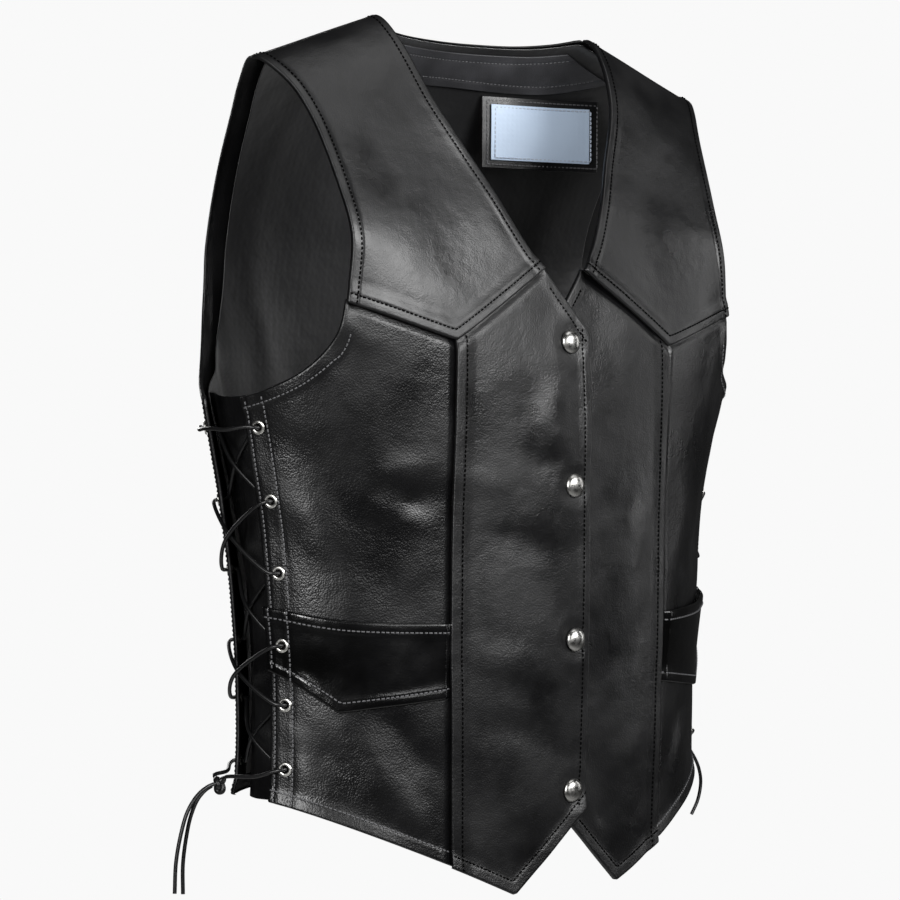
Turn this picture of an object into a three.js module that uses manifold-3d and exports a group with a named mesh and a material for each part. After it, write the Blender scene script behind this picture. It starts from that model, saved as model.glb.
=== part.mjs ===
// Leather western vest, size medium: snapped front, pointed yokes, pocket flaps and laced sides.
// Millimetres, +Z up. The wearer faces -Y, so the wearer's left is +X. The origin lies midway
// between the two shoulder seams, level with the middle of each seam.
import * as THREE from "three";
import { mergeVertices } from "three/addons/utils/BufferGeometryUtils.js";
import Module from "manifold-3d";

const wasm = await Module();
wasm.setup();

// Walls and clearances
const LEATHER = 2.0;
const LINING = 1.0;
const SEAM = 0.3;
const HALF_SEAM = 0.2;
const LINING_SEAM = 0.45;
const OVERLAP_DROP = 2.5;

// The filled-out body that the panels lie on, as level sections counted down from the shoulder
// seam: how far down, half the width, how far the front and back stand from the seam's plane,
// where the side line lies, how square the section is, and how much shoulder slope is left in it.
const SECTION_COLUMNS = ["drop", "half", "front", "back", "side", "power", "slope"];
const SECTIONS = [
  [0, 240, 0.3, 0.3, 0, 7, 1],
  [3, 240, 8, 8, 0, 7, 1],
  [10, 240, 16, 17, 0, 7, 1],
  [25, 239, 27, 32, 1, 7, 1],
  [50, 238, 40, 50, 2, 6.5, 1],
  [75, 237, 51, 64, 3, 6, 0.9],
  [105, 236, 63, 77, 4, 5.5, 0.72],
  [130, 235, 74, 86, 5, 4.5, 0.56],
  [155, 233, 83, 94, 7, 3.4, 0.4],
  [185, 230, 91, 101, 9, 2.8, 0.22],
  [220, 225, 96, 106, 11, 2.4, 0],
  [260, 219, 98, 109, 12, 2.15, 0],
  [320, 209, 99, 107, 12, 1.95, 0],
  [400, 201, 100, 98, 12, 1.87, 0],
  [470, 199, 99, 96, 12, 1.85, 0],
  [540, 201, 96, 100, 12, 1.85, 0],
  [640, 205, 91, 104, 12, 1.85, 0],
];
const SHOULDER_SLOPE = 0.38;
const SHOULDER_ROUND = 40;
const SHOULDER_MIDDLE = 150;
const GIRTH_EVENNESS = 0.7;

// The cut, as points (x, z) seen from the front or the back, for the wearer's left half
const NECK_X = 98;
const TIP_X = 202;
const YOKE_POINT = [98, -210];
const YOKE_FRONT_END = [18, -159];
const YOKE_ARMHOLE_END = [176, -186];
const FRONT_NECKLINE = [[85, -37], [62, -83], [34, -137]];
const FRONT_ARMHOLE_UPPER = [[187, -44], [178, -80], [172, -140]];
const FRONT_ARMHOLE_LOWER = [[181, -210], [196, -231]];
const BACK_NECKLINE = [[80, 15], [50, 12.5], [0, 12], [-50, 12.5], [-80, 15]];
const BACK_ARMHOLE = [[190, -55], [184, -120], [186, -180], [198, -222]];
const UNDERARM_Z = -248;
const LAP_TOP = [-17, -203];
const LAP_BOTTOM = [-11.5, -531];
const HEM_POINT = [47, -586];
const PANEL_SEAM = [[98, -403], [97, -450]];
const PANEL_SEAM_HEM = [94.5, -564];
const SIDE_HEM_Z = -518;
const POCKET_AT_PANEL_SEAM = [98, -403];
const POCKET_MIDDLE = [160, -400];
const POCKET_AT_SIDE_Z = -391;
const FLAP_AT_PANEL_SEAM = [97, -449];
const FLAP_POINT = [164, -458];
const FLAP_AT_SIDE_Z = -430;

// Lacing along each side
const LACE_GAP = 44;
const EYELET_INSET = 10;
const EYELET_Z = [-268, -317, -365, -413, -453, -496];
const EYELET_BORE = 3.3;
const EYELET_BARREL = 3.6;
const EYELET_FLANGE = 4.8;
const EYELET_HOLE = 4.1;
const LACE = 2.4;
const GUSSET_REACH = 54;
const GUSSET_RISE = 5;

// Fastening, facing and label
const SNAP_Z = [-209, -308, -414, -518];
const SNAP_CAP = 7.8;
const SNAP_STUD = 5.5;
const FACING_DEPTH = 28;
const FACING_END_X = 138;
const FACING_ROWS = 5;
const LABEL_LEFT = 42;
const LABEL_RIGHT = 138;
const LABEL_TOP = -23;
const LABEL_BOTTOM = -76;

// Leather and fittings, as seen
const BLACK_LEATHER = { color: "#232324", roughness: 0.5, metalness: 0 };
const LINING_CLOTH = { color: "#141416", roughness: 0.8, metalness: 0 };
const LABEL_CLOTH = { color: "#9fb2c6", roughness: 0.6, metalness: 0 };
const NICKEL = { color: "#c9c9c6", roughness: 0.25, metalness: 1 };
const LACE_LEATHER = { color: "#1a1a1a", roughness: 0.6, metalness: 0 };

const vest = new THREE.Group();

// The body surface

function column(row, name) {
  return SECTIONS[row][SECTION_COLUMNS.indexOf(name)];
}

function slopeOf(row, name) {
  const before = Math.max(row - 1, 0);
  const after = Math.min(row + 1, SECTIONS.length - 1);
  const run = column(after, "drop") - column(before, "drop");
  return (column(after, name) - column(before, name)) / run;
}

function sectionAt(drop) {
  const last = SECTIONS.length - 2;
  let row = 0;
  while (row < last && column(row + 1, "drop") <= drop) row += 1;
  const run = column(row + 1, "drop") - column(row, "drop");
  const t = THREE.MathUtils.clamp((drop - column(row, "drop")) / run, 0, 1);
  const section = {};
  for (const name of SECTION_COLUMNS.slice(1)) {
    const rise = t * t * (3 - 2 * t);
    const smooth = column(row, name) * (1 - rise) + column(row + 1, name) * rise;
    const leave = slopeOf(row, name) * run * t * (1 - t) * (1 - t);
    const arrive = slopeOf(row + 1, name) * run * t * t * (1 - t);
    section[name] = smooth + leave - arrive;
  }
  return section;
}

function shoulderHeight(x) {
  const level = Math.hypot(SHOULDER_MIDDLE, SHOULDER_ROUND);
  return SHOULDER_SLOPE * (level - Math.hypot(x, SHOULDER_ROUND));
}

// Girth runs 0 at centre front, 1 at the wearer's left side, 2 at centre back, 3 at the right side.
function bodyPoint(girth, z) {
  const turn = (Math.PI / 2) * girth;
  const angle = Math.atan2(GIRTH_EVENNESS * Math.sin(turn), Math.cos(turn));
  const across = Math.sin(angle);
  const ahead = Math.cos(angle);
  let drop = -z;
  let section;
  let norm;
  for (let pass = 0; pass < 14; pass += 1) {
    section = sectionAt(Math.max(drop, 0));
    const power = section.power;
    norm = (Math.abs(across) ** power + Math.abs(ahead) ** power) ** (1 / power);
    drop = section.slope * shoulderHeight((section.half * across) / norm) - z;
  }
  const depth = ahead > 0 ? section.front + section.side : section.back - section.side;
  return new THREE.Vector3((section.half * across) / norm, section.side - (depth * ahead) / norm, z);
}

function outward(girth, z) {
  const around = bodyPoint(girth + 0.004, z).sub(bodyPoint(girth - 0.004, z));
  const up = bodyPoint(girth, z).sub(bodyPoint(girth, z - 1));
  return around.cross(up).normalize();
}

function place(girth, z, out) {
  return bodyPoint(girth, z).addScaledVector(outward(girth, z), out);
}

function sectionThrough(x, z) {
  let drop = -z;
  for (let pass = 0; pass < 14; pass += 1) {
    drop = sectionAt(Math.max(drop, 0)).slope * shoulderHeight(x) - z;
  }
  return sectionAt(Math.max(drop, 0));
}

function girthOf(angle) {
  return (2 / Math.PI) * Math.atan2(Math.sin(angle) / GIRTH_EVENNESS, Math.cos(angle));
}

function frontGirth(x, z) {
  const section = sectionThrough(x, z);
  const across = Math.min(Math.abs(x) / section.half, 0.9999);
  const ahead = (1 - across ** section.power) ** (1 / section.power);
  return Math.sign(x) * girthOf(Math.atan2(across, ahead));
}

function backGirth(x, z) {
  const section = sectionThrough(x, z);
  const across = Math.min(Math.abs(x) / section.half, 0.9999);
  const ahead = (1 - across ** section.power) ** (1 / section.power);
  const girth = girthOf(Math.atan2(across, -ahead));
  return x < 0 ? 4 - girth : girth;
}

// The girth at a distance behind the side line, or before it where the distance is negative.
function sideGirth(distance, z) {
  const section = sectionAt(-z);
  const depth = distance < 0 ? section.front + section.side : section.back - section.side;
  const away = Math.abs(distance) / depth;
  const across = (1 - away ** section.power) ** (1 / section.power);
  return girthOf(Math.atan2(across, -Math.sign(distance) * away));
}

// Edges of the cut, each as points (girth, z)

function frontEdge(points, steps, crowding = 1) {
  return edge(points, steps, crowding, frontGirth);
}

function backEdge(points, steps, crowding = 1) {
  return edge(points, steps, crowding, backGirth);
}

// A crowding over 1 sets the first steps closer together, for where the body turns fast.
function edge(corners, steps, crowding, girthAt) {
  const points = corners.map(([x, z]) => new THREE.Vector2(x, z));
  const line = points.length > 2 ? new THREE.SplineCurve(points) : new THREE.LineCurve(...points);
  return Array.from({ length: steps + 1 }, (_, i) => {
    const p = line.getPointAt((i / steps) ** crowding);
    return new THREE.Vector2(girthAt(p.x, p.y), p.y);
  });
}

function sideEdge(distance, fromZ, toZ, steps) {
  const points = [];
  for (let i = 0; i <= steps; i += 1) {
    const z = THREE.MathUtils.lerp(fromZ, toZ, i / steps);
    points.push(new THREE.Vector2(sideGirth(distance, z), z));
  }
  return points;
}

function joined(...legs) {
  return legs.flatMap((leg, i) => (i === 0 ? leg : leg.slice(1)));
}

// A sheet between four edges: top and bottom run one way, left and right run down. A settle over 1
// lets the top edge's shape die out sooner on the way down.
function spread(top, bottom, left, right, settle = 1) {
  const columns = top.length;
  const rows = left.length;
  const grid = [];
  for (let r = 0; r < rows; r += 1) {
    const v = r / (rows - 1);
    const upper = (1 - v) ** settle;
    for (let c = 0; c < columns; c += 1) {
      const u = c / (columns - 1);
      const across = left[r].clone().lerp(right[r], u);
      const down = bottom[c].clone().lerp(top[c], upper);
      const highCorners = top[0].clone().lerp(top[columns - 1], u);
      const corners = bottom[0].clone().lerp(bottom[columns - 1], u).lerp(highCorners, upper);
      grid.push({ at: across.add(down).sub(corners), u, v });
    }
  }
  return { grid, columns, rows };
}

// Turns the sheet into a closed wall. lift(u, v, x, z) gives how far its outer face stands out.
// Each four-sided face is split along its shorter diagonal.
function wall(sheet, thickness, lift = () => 0, limit = (point) => point) {
  const { grid, columns, rows } = sheet;
  const positions = [];
  for (const inner of [0, 1]) {
    for (const { at, u, v } of grid) {
      const flat = bodyPoint(at.x, at.y);
      const out = lift(u, v, flat.x, flat.z) - inner * thickness;
      positions.push(...limit(place(at.x, at.y, out)).toArray());
    }
  }
  const corner = (i) => new THREE.Vector3().fromArray(positions, i * 3);
  const faces = [];
  const count = grid.length;
  for (let r = 0; r < rows - 1; r += 1) {
    for (let c = 0; c < columns - 1; c += 1) {
      const a = r * columns + c;
      const b = a + columns;
      const fallsRight = corner(a).distanceTo(corner(b + 1)) < corner(b).distanceTo(corner(a + 1));
      const [p, q, opposite, s] = fallsRight ? [b, b + 1, a + 1, a] : [a, b, b + 1, a + 1];
      faces.push(p, q, s, s, q, opposite);
      faces.push(p + count, s + count, q + count, s + count, opposite + count, q + count);
    }
  }
  const rim = [];
  for (let c = 0; c < columns - 1; c += 1) rim.push([c, c + 1]);
  for (let r = 0; r < rows - 1; r += 1) rim.push([(r + 1) * columns - 1, (r + 2) * columns - 1]);
  for (let c = columns - 1; c > 0; c -= 1) rim.push([(rows - 1) * columns + c, (rows - 1) * columns + c - 1]);
  for (let r = rows - 1; r > 0; r -= 1) rim.push([r * columns, (r - 1) * columns]);
  for (const [a, b] of rim) faces.push(a, b, b + count, a, b + count, a + count);
  const geometry = new THREE.BufferGeometry();
  geometry.setAttribute("position", new THREE.Float32BufferAttribute(positions, 3));
  geometry.setIndex(faces);
  return facingOut(geometry);
}

// Solids

function signedVolume(geometry) {
  const position = geometry.attributes.position;
  const [a, b, c] = [new THREE.Vector3(), new THREE.Vector3(), new THREE.Vector3()];
  let volume = 0;
  for (let i = 0; i < geometry.index.count; i += 3) {
    a.fromBufferAttribute(position, geometry.index.getX(i));
    b.fromBufferAttribute(position, geometry.index.getX(i + 1));
    c.fromBufferAttribute(position, geometry.index.getX(i + 2));
    volume += a.dot(b.cross(c)) / 6;
  }
  return volume;
}

function facingOut(geometry) {
  if (signedVolume(geometry) < 0) {
    const faces = geometry.index.array;
    for (let i = 0; i < faces.length; i += 3) {
      [faces[i], faces[i + 1]] = [faces[i + 1], faces[i]];
    }
  }
  return geometry;
}

function welded(geometry) {
  geometry.deleteAttribute("normal");
  geometry.deleteAttribute("uv");
  return facingOut(mergeVertices(geometry, 1e-4));
}

function mirrored(geometry) {
  return facingOut(geometry.clone().scale(-1, 1, 1));
}

function manifoldOf(geometry) {
  const vertProperties = new Float32Array(geometry.attributes.position.array);
  const triVerts = new Uint32Array(geometry.index.array);
  return new wasm.Manifold(new wasm.Mesh({ numProp: 3, vertProperties, triVerts }));
}

function pierced(geometry, punches) {
  let solid = manifoldOf(geometry);
  for (const punch of punches) solid = solid.subtract(manifoldOf(punch));
  const mesh = solid.getMesh();
  const cut = new THREE.BufferGeometry();
  cut.setAttribute("position", new THREE.Float32BufferAttribute(mesh.vertProperties, 3));
  cut.setIndex(Array.from(mesh.triVerts));
  return cut;
}

function upright(geometry, girth, z, out) {
  const turn = new THREE.Quaternion().setFromUnitVectors(new THREE.Vector3(0, 1, 0), outward(girth, z));
  const at = place(girth, z, out);
  return geometry.clone().applyQuaternion(turn).translate(at.x, at.y, at.z);
}

function turned(profile, sides) {
  return welded(new THREE.LatheGeometry(profile.map(([r, y]) => new THREE.Vector2(r, y)), sides));
}

function add(name, geometry, look) {
  const mesh = new THREE.Mesh(geometry, new THREE.MeshStandardMaterial(look));
  mesh.name = name;
  vest.add(mesh);
}

function addPair(name, geometry, look) {
  add(`${name}_left`, geometry, look);
  add(`${name}_right`, mirrored(geometry), look);
}

// Edges shared by neighbouring panels

const shoulderPoint = (x) => [x, shoulderHeight(x) - 0.1];
const besideSeam = (point, shift) => [point[0] + shift, point[1]];
const belowSeam = (point, shift) => [point[0], point[1] - shift];
const HALF_GAP = LACE_GAP / 2;

function sidePoint(distance, z) {
  const at = bodyPoint(sideGirth(distance, z), z);
  return [at.x, at.z];
}

function frontOfSeam(point) {
  point.y = Math.min(point.y, -HALF_SEAM);
  return point;
}

function behindSeam(point) {
  point.y = Math.max(point.y, HALF_SEAM);
  return point;
}

// Front yoke: shoulder seam to the pointed seam across the chest

function frontYoke() {
  const neck = shoulderPoint(NECK_X);
  const tip = shoulderPoint(TIP_X);
  const inner = belowSeam(YOKE_FRONT_END, -HALF_SEAM);
  const point = belowSeam(YOKE_POINT, -HALF_SEAM);
  const outer = belowSeam(YOKE_ARMHOLE_END, -HALF_SEAM);
  const top = frontEdge([neck, tip], 9);
  const bottom = joined(frontEdge([inner, point], 5), frontEdge([point, outer], 4));
  const left = frontEdge([neck, ...FRONT_NECKLINE, inner], 10, 1.6);
  const right = frontEdge([tip, ...FRONT_ARMHOLE_UPPER, outer], 10, 1.6);
  return wall(spread(top, bottom, left, right), LEATHER, () => 0, frontOfSeam);
}

// Centre front: from the lapped edge to the long panel seam, with its pointed hem

function centreFront(lift) {
  const neckEnd = belowSeam(YOKE_FRONT_END, HALF_SEAM);
  const yokePoint = besideSeam(belowSeam(YOKE_POINT, HALF_SEAM), -HALF_SEAM);
  const seam = PANEL_SEAM.map((point) => besideSeam(point, -HALF_SEAM));
  const hem = besideSeam(PANEL_SEAM_HEM, -HALF_SEAM);
  const top = joined(frontEdge([LAP_TOP, neckEnd], 4), frontEdge([neckEnd, yokePoint], 6));
  const bottom = joined(frontEdge([LAP_BOTTOM, HEM_POINT], 6), frontEdge([HEM_POINT, hem], 4));
  const left = frontEdge([LAP_TOP, LAP_BOTTOM], 13);
  const right = frontEdge([yokePoint, ...seam, hem], 13);
  return wall(spread(top, bottom, left, right), LEATHER, lift);
}

function underLap(u, v, x) {
  return -OVERLAP_DROP * (1 - THREE.MathUtils.smoothstep(x, 2 - LAP_TOP[0], 22 - LAP_TOP[0]));
}

// Side front above the pocket seam, and below it

const pocketAtSide = sidePoint(-HALF_GAP, POCKET_AT_SIDE_Z);

function pocketSeam(shift) {
  const inner = besideSeam(POCKET_AT_PANEL_SEAM, HALF_SEAM);
  const points = [inner, POCKET_MIDDLE, pocketAtSide].map((point) => belowSeam(point, shift));
  return [points, frontEdge(points, 9)];
}

function frontSideEdge(top, bottom, steps) {
  return sideEdge(-HALF_GAP, top, bottom, steps);
}

function sideFrontUpper() {
  const yokePoint = besideSeam(belowSeam(YOKE_POINT, HALF_SEAM), HALF_SEAM);
  const yokeEnd = belowSeam(YOKE_ARMHOLE_END, HALF_SEAM);
  const underarm = sidePoint(-HALF_GAP, UNDERARM_Z);
  const [points, bottom] = pocketSeam(-HALF_SEAM);
  const armhole = frontEdge([yokeEnd, ...FRONT_ARMHOLE_LOWER, underarm], 5);
  const top = joined(frontEdge([yokePoint, yokeEnd], 4), armhole);
  const left = frontEdge([yokePoint, points[0]], 8);
  const right = frontSideEdge(UNDERARM_Z, points[2][1], 8);
  return wall(spread(top, bottom, left, right), LEATHER);
}

function sideFrontLower() {
  const [points, top] = pocketSeam(HALF_SEAM);
  const seam = besideSeam(PANEL_SEAM[1], HALF_SEAM);
  const hem = besideSeam(PANEL_SEAM_HEM, HALF_SEAM);
  const sideHem = sidePoint(-HALF_GAP, SIDE_HEM_Z);
  const bottom = frontEdge([hem, sideHem], 9);
  const left = frontEdge([points[0], seam, hem], 6);
  const right = frontSideEdge(points[2][1], SIDE_HEM_Z, 6);
  return wall(spread(top, bottom, left, right), LEATHER);
}

// Pocket flap, lying on the lower side front from the pocket seam down to its point

function pocketFlap() {
  const [points, top] = pocketSeam(HALF_SEAM);
  const inner = besideSeam(FLAP_AT_PANEL_SEAM, HALF_SEAM);
  const outer = sidePoint(-HALF_GAP, FLAP_AT_SIDE_Z);
  const bottom = joined(frontEdge([inner, FLAP_POINT], 5), frontEdge([FLAP_POINT, outer], 4));
  const left = frontEdge([points[0], inner], 3);
  const right = frontSideEdge(points[2][1], FLAP_AT_SIDE_Z, 3);
  return wall(spread(top, bottom, left, right), LEATHER, () => LEATHER + 2 * SEAM);
}

// Back panel, its lining and the leather facing round the neck

function backPanel(inset, hemZ, steps, thickness, lift) {
  const tip = shoulderPoint(TIP_X - inset);
  const neck = shoulderPoint(NECK_X);
  const across = ([x, z]) => [-x, z];
  const underarm = sidePoint(HALF_GAP + inset, UNDERARM_Z);
  const cut = BACK_ARMHOLE.map(([x, z]) => [x - inset, z]);
  const leftSide = sideEdge(HALF_GAP + inset, UNDERARM_Z, hemZ, steps.side);
  const rightSide = leftSide.map((p) => new THREE.Vector2(4 - p.x, p.y));
  const lowArm = backEdge([...cut.slice(-2), underarm], steps.underarm);
  const leftArm = joined(backEdge([tip, ...cut.slice(0, -1)], steps.armhole, 1.4), lowArm);
  const rightArm = leftArm.map((p) => new THREE.Vector2(4 - p.x, p.y));
  const top = joined(
    backEdge([tip, neck], steps.shoulder),
    backEdge([neck, ...BACK_NECKLINE, across(neck)], steps.neck),
    backEdge([across(neck), across(tip)], steps.shoulder),
  );
  const bottom = top.map((p, i) => {
    const u = i / (top.length - 1);
    return new THREE.Vector2(THREE.MathUtils.lerp(leftSide.at(-1).x, rightSide.at(-1).x, u), hemZ);
  });
  const sheet = spread(top, bottom, joined(leftArm, leftSide), joined(rightArm, rightSide), 3);
  return wall(sheet, thickness, lift, behindSeam);
}

function neckFacing(depth) {
  const top = backEdge([[94, 12.5], [60, 9], [0, 8], [-60, 9], [-94, 12.5]], 12);
  const end = shoulderPoint(FACING_END_X);
  const low = [end[0], end[1] - 10];
  const bottomMiddle = [0, BACK_NECKLINE[2][1] - FACING_DEPTH];
  const bottomSide = [88, bottomMiddle[1]];
  const across = ([x, z]) => [-x, z];
  const bottom = backEdge([low, bottomSide, bottomMiddle, across(bottomSide), across(low)], 12);
  const left = [];
  const right = [];
  for (let i = 0; i <= FACING_ROWS; i += 1) {
    left.push(top[0].clone().lerp(bottom[0], i / FACING_ROWS));
    right.push(top.at(-1).clone().lerp(bottom.at(-1), i / FACING_ROWS));
  }
  return wall(spread(top, bottom, left, right), LINING, () => -depth, behindSeam);
}

// A patch sewn along its top edge, which hangs straight down and is curved across like the back
function hungPatch(left, right, top, bottom, depth, thickness) {
  const across = backEdge([[left, LABEL_TOP], [right, LABEL_TOP]], 8);
  const face = (under) => across.map(({ x: girth, y: z }) => {
    const point = bodyPoint(girth, z);
    const normal = outward(girth, z);
    const inward = under / (normal.x ** 2 + normal.y ** 2);
    return new THREE.Vector2(point.x - normal.x * inward, point.y - normal.y * inward);
  });
  const outline = new THREE.Shape([...face(depth), ...face(depth + thickness).reverse()]);
  const hung = new THREE.ExtrudeGeometry(outline, { depth: top - bottom, bevelEnabled: false });
  return welded(hung.translate(0, 0, bottom));
}

// Side gusset, sewn inside the front and the back panel and hollowed behind the lacing

const GUSSET_DEPTHS = [
  { across: 0, depth: LEATHER + 1.7 },
  { across: 0.1, depth: LEATHER + 2.2 },
  { across: 0.2, depth: 9.2 },
  { across: 0.5, depth: 11.5 },
  { across: 0.8, depth: 9.2 },
  { across: 0.9, depth: LEATHER + 2.2 },
  { across: 1, depth: LEATHER + 1.7 },
];

function gussetLift(u) {
  let row = 0;
  while (row < GUSSET_DEPTHS.length - 2 && GUSSET_DEPTHS[row + 1].across < u) row += 1;
  const from = GUSSET_DEPTHS[row];
  const to = GUSSET_DEPTHS[row + 1];
  const t = (u - from.across) / (to.across - from.across);
  return -THREE.MathUtils.lerp(from.depth, to.depth, t);
}

function sideGusset() {
  const left = sideEdge(-GUSSET_REACH, UNDERARM_Z + GUSSET_RISE, SIDE_HEM_Z, 8);
  const right = sideEdge(GUSSET_REACH, UNDERARM_Z + GUSSET_RISE, SIDE_HEM_Z, 8);
  const along = (z, dip) => Array.from({ length: 11 }, (_, i) => {
    const height = z - dip * Math.sin((Math.PI * i) / 10);
    const distance = THREE.MathUtils.lerp(-GUSSET_REACH, GUSSET_REACH, i / 10);
    return new THREE.Vector2(sideGirth(distance || 0.01, height), height);
  });
  const top = along(UNDERARM_Z + GUSSET_RISE, GUSSET_RISE + 1);
  const sheet = spread(top, along(SIDE_HEM_Z, 0), left, right);
  return wall(sheet, LEATHER - 0.6, gussetLift);
}

// Eyelets and their holes, in pairs down the front and the back edge of each laced side

const flapRise = (z) => (z < POCKET_AT_SIDE_Z && z > FLAP_AT_SIDE_Z ? LEATHER + 2 * SEAM : 0);
const eyeletPlaces = [];
for (const edgeSide of [-1, 1]) {
  EYELET_Z.forEach((z, i) => {
    const distance = edgeSide * (HALF_GAP + EYELET_INSET);
    const rise = edgeSide < 0 ? flapRise(z) : 0;
    eyeletPlaces.push({ edgeSide, number: i + 1, z, girth: sideGirth(distance, z), rise });
  });
}

function punches(edgeSide) {
  const punch = welded(new THREE.CylinderGeometry(EYELET_HOLE, EYELET_HOLE, 14, 8));
  const chosen = eyeletPlaces.filter((eyelet) => eyelet.edgeSide === edgeSide);
  return chosen.map((eyelet) => upright(punch, eyelet.girth, eyelet.z, 0));
}

function eyelet(rise) {
  return turned([
    [EYELET_BORE, -LEATHER - SEAM],
    [EYELET_BARREL, -LEATHER - SEAM],
    [EYELET_BARREL, rise + SEAM],
    [EYELET_FLANGE, rise + SEAM],
    [EYELET_FLANGE - 0.9, rise + SEAM + 1],
    [EYELET_BORE, rise + SEAM + 0.7],
    [EYELET_BORE, -LEATHER - SEAM],
  ], 8);
}

// Laces: each one runs in through one eyelet and out through the next on the other edge

const LACE_OUT = 4.3;
const LACE_IN = -6.2;
const LACE_CROSS = 1.6;
const KNOT = { x: 212, y: 22, z: -508, radius: 5 };
const LACE_ENDS = {
  right: {
    front: [[217.2, 20, -507], [222, 20, -508], [230, 21, -513], [238, 22, -524], [243, 23, -540],
      [246, 24, -558], [247, 24, -578]],
    back: [[216.9, 24.6, -509], [221, 25, -511], [227, 26, -517], [232, 27, -528], [235, 28, -542],
      [237, 29, -560], [237, 29, -580]],
  },
  left: {
    front: [[217.2, 20, -507], [221, 20, -510], [229, 20, -518], [237, 20, -530], [240, 20, -542],
      [237, 20, -556], [230, 20, -567]],
    back: [[216.9, 24.6, -509], [220, 26, -514], [222, 28, -525], [222, 29, -538], [220, 30, -550],
      [217, 31, -561]],
  },
};

function atSide(distance, z, out) {
  return place(sideGirth(distance || 0.01, z), z, out);
}

// The turn through an eyelet, going in or coming out, seen from the gap between the edges.
function eyeletTurn(edgeSide, z, goingIn) {
  const hole = edgeSide * (HALF_GAP + EYELET_INSET);
  const rise = edgeSide < 0 ? flapRise(z) : 0;
  const flow = goingIn ? 1 : -1;
  const passes = [
    [hole - edgeSide * 5.5, z + flow * 1.2, LACE_OUT + rise],
    [hole - edgeSide * 0.7, z, LACE_OUT - 2 + rise],
    [hole + edgeSide * 0.8, z, rise / 2 - 1],
    [hole - edgeSide * 0.7, z, LACE_IN + 2],
    [hole - edgeSide * 5.5, z - flow * 1.2, LACE_IN],
  ];
  const points = passes.map((pass) => atSide(...pass));
  return goingIn ? points : points.reverse();
}

function laceRoute(startSide) {
  const over = startSide * LACE_CROSS;
  const first = EYELET_Z[0];
  const middle = (startSide * SEAM) / 2;
  const route = [
    atSide(middle, first + 1, LACE_OUT + 7),
    atSide(middle + startSide * 4, first + 1, LACE_OUT + 6.8),
    atSide(startSide * 14, first, LACE_OUT + 4.4),
  ];
  let edgeSide = startSide;
  EYELET_Z.forEach((z, i) => {
    const goingIn = i % 2 === 0;
    const next = EYELET_Z[i + 1] ?? z - 10;
    route.push(...eyeletTurn(edgeSide, z, goingIn));
    if (i < EYELET_Z.length - 1) {
      const height = goingIn ? LACE_IN - 0.3 + over : LACE_OUT + 1 + over;
      route.push(atSide(0, (z + next) / 2, height));
    }
    edgeSide = -edgeSide;
  });
  const lastSide = -edgeSide;
  const reach = (KNOT.radius + SEAM) * Math.SQRT1_2;
  route.push(atSide(lastSide * 16, -501, 6));
  route.push(new THREE.Vector3(KNOT.x, KNOT.y + lastSide * reach * 1.8, KNOT.z + reach * 1.5));
  route.push(new THREE.Vector3(KNOT.x, KNOT.y + lastSide * reach * 1.08, KNOT.z + reach));
  return route;
}

function cord(route, steps) {
  const section = new THREE.Shape();
  for (let i = 0; i < 8; i += 1) {
    const angle = (Math.PI / 4) * i;
    const corner = [(LACE / 2) * Math.cos(angle), (LACE / 2) * Math.sin(angle)];
    if (i === 0) section.moveTo(...corner);
    else section.lineTo(...corner);
  }
  const extrudePath = new THREE.CatmullRomCurve3(route, false, "centripetal");
  return welded(new THREE.ExtrudeGeometry(section, { steps, extrudePath, bevelEnabled: false }));
}

// Snaps

const snapCap = turned([[0, 0], [SNAP_CAP, 0], [SNAP_CAP, 1.4], [6.7, 3.2], [4, 4.3], [0, 4.6]], 12);
const snapStud = turned([[0, 0], [SNAP_STUD, 0], [SNAP_STUD, 1.2], [2.4, 1.6], [2.2, 2.6], [0, 2.8]], 10);

// Putting the vest together

addPair("front_yoke", frontYoke(), BLACK_LEATHER);
add("centre_front_right", mirrored(centreFront(() => 0)), BLACK_LEATHER);
add("centre_front_left", centreFront(underLap), BLACK_LEATHER);
addPair("side_front_upper", pierced(sideFrontUpper(), punches(-1)), BLACK_LEATHER);
addPair("side_front_lower", pierced(sideFrontLower(), punches(-1)), BLACK_LEATHER);
addPair("pocket_flap", pierced(pocketFlap(), punches(-1)), BLACK_LEATHER);

const backPunches = punches(1).flatMap((punch) => [punch, mirrored(punch)]);
const backSteps = { shoulder: 5, neck: 10, armhole: 6, underarm: 5, side: 6 };
const back = backPanel(0, SIDE_HEM_Z, backSteps, LEATHER, () => 0);
add("back", pierced(back, backPunches), BLACK_LEATHER);

const liningDepth = LEATHER + 2.5;
const liningSteps = { shoulder: 4, neck: 8, armhole: 6, underarm: 3, side: 5 };
const liningLift = (u, v) => (v < 1 ? -liningDepth : -LEATHER - LINING_SEAM);
add("back_lining", backPanel(38, SIDE_HEM_Z + 12, liningSteps, LINING, liningLift), LINING_CLOTH);
const facingDepth = liningDepth + LINING + 2;
add("neck_facing", neckFacing(facingDepth), BLACK_LEATHER);
const patchDepth = liningDepth + LINING + 0.8;
add("label_patch",
  hungPatch(LABEL_LEFT, LABEL_RIGHT, LABEL_TOP, LABEL_BOTTOM, patchDepth, LEATHER), BLACK_LEATHER);
add("label", hungPatch(LABEL_LEFT + 7, LABEL_RIGHT - 7, LABEL_TOP - 6, LABEL_BOTTOM + 6,
  patchDepth + LEATHER + 0.5, LINING), LABEL_CLOTH);

addPair("side_gusset", sideGusset(), BLACK_LEATHER);

for (const { edgeSide, number, z, girth, rise } of eyeletPlaces) {
  const edgeName = edgeSide < 0 ? "front" : "back";
  addPair(`eyelet_${edgeName}_${number}`, upright(eyelet(rise), girth, z, 0), NICKEL);
}

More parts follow.
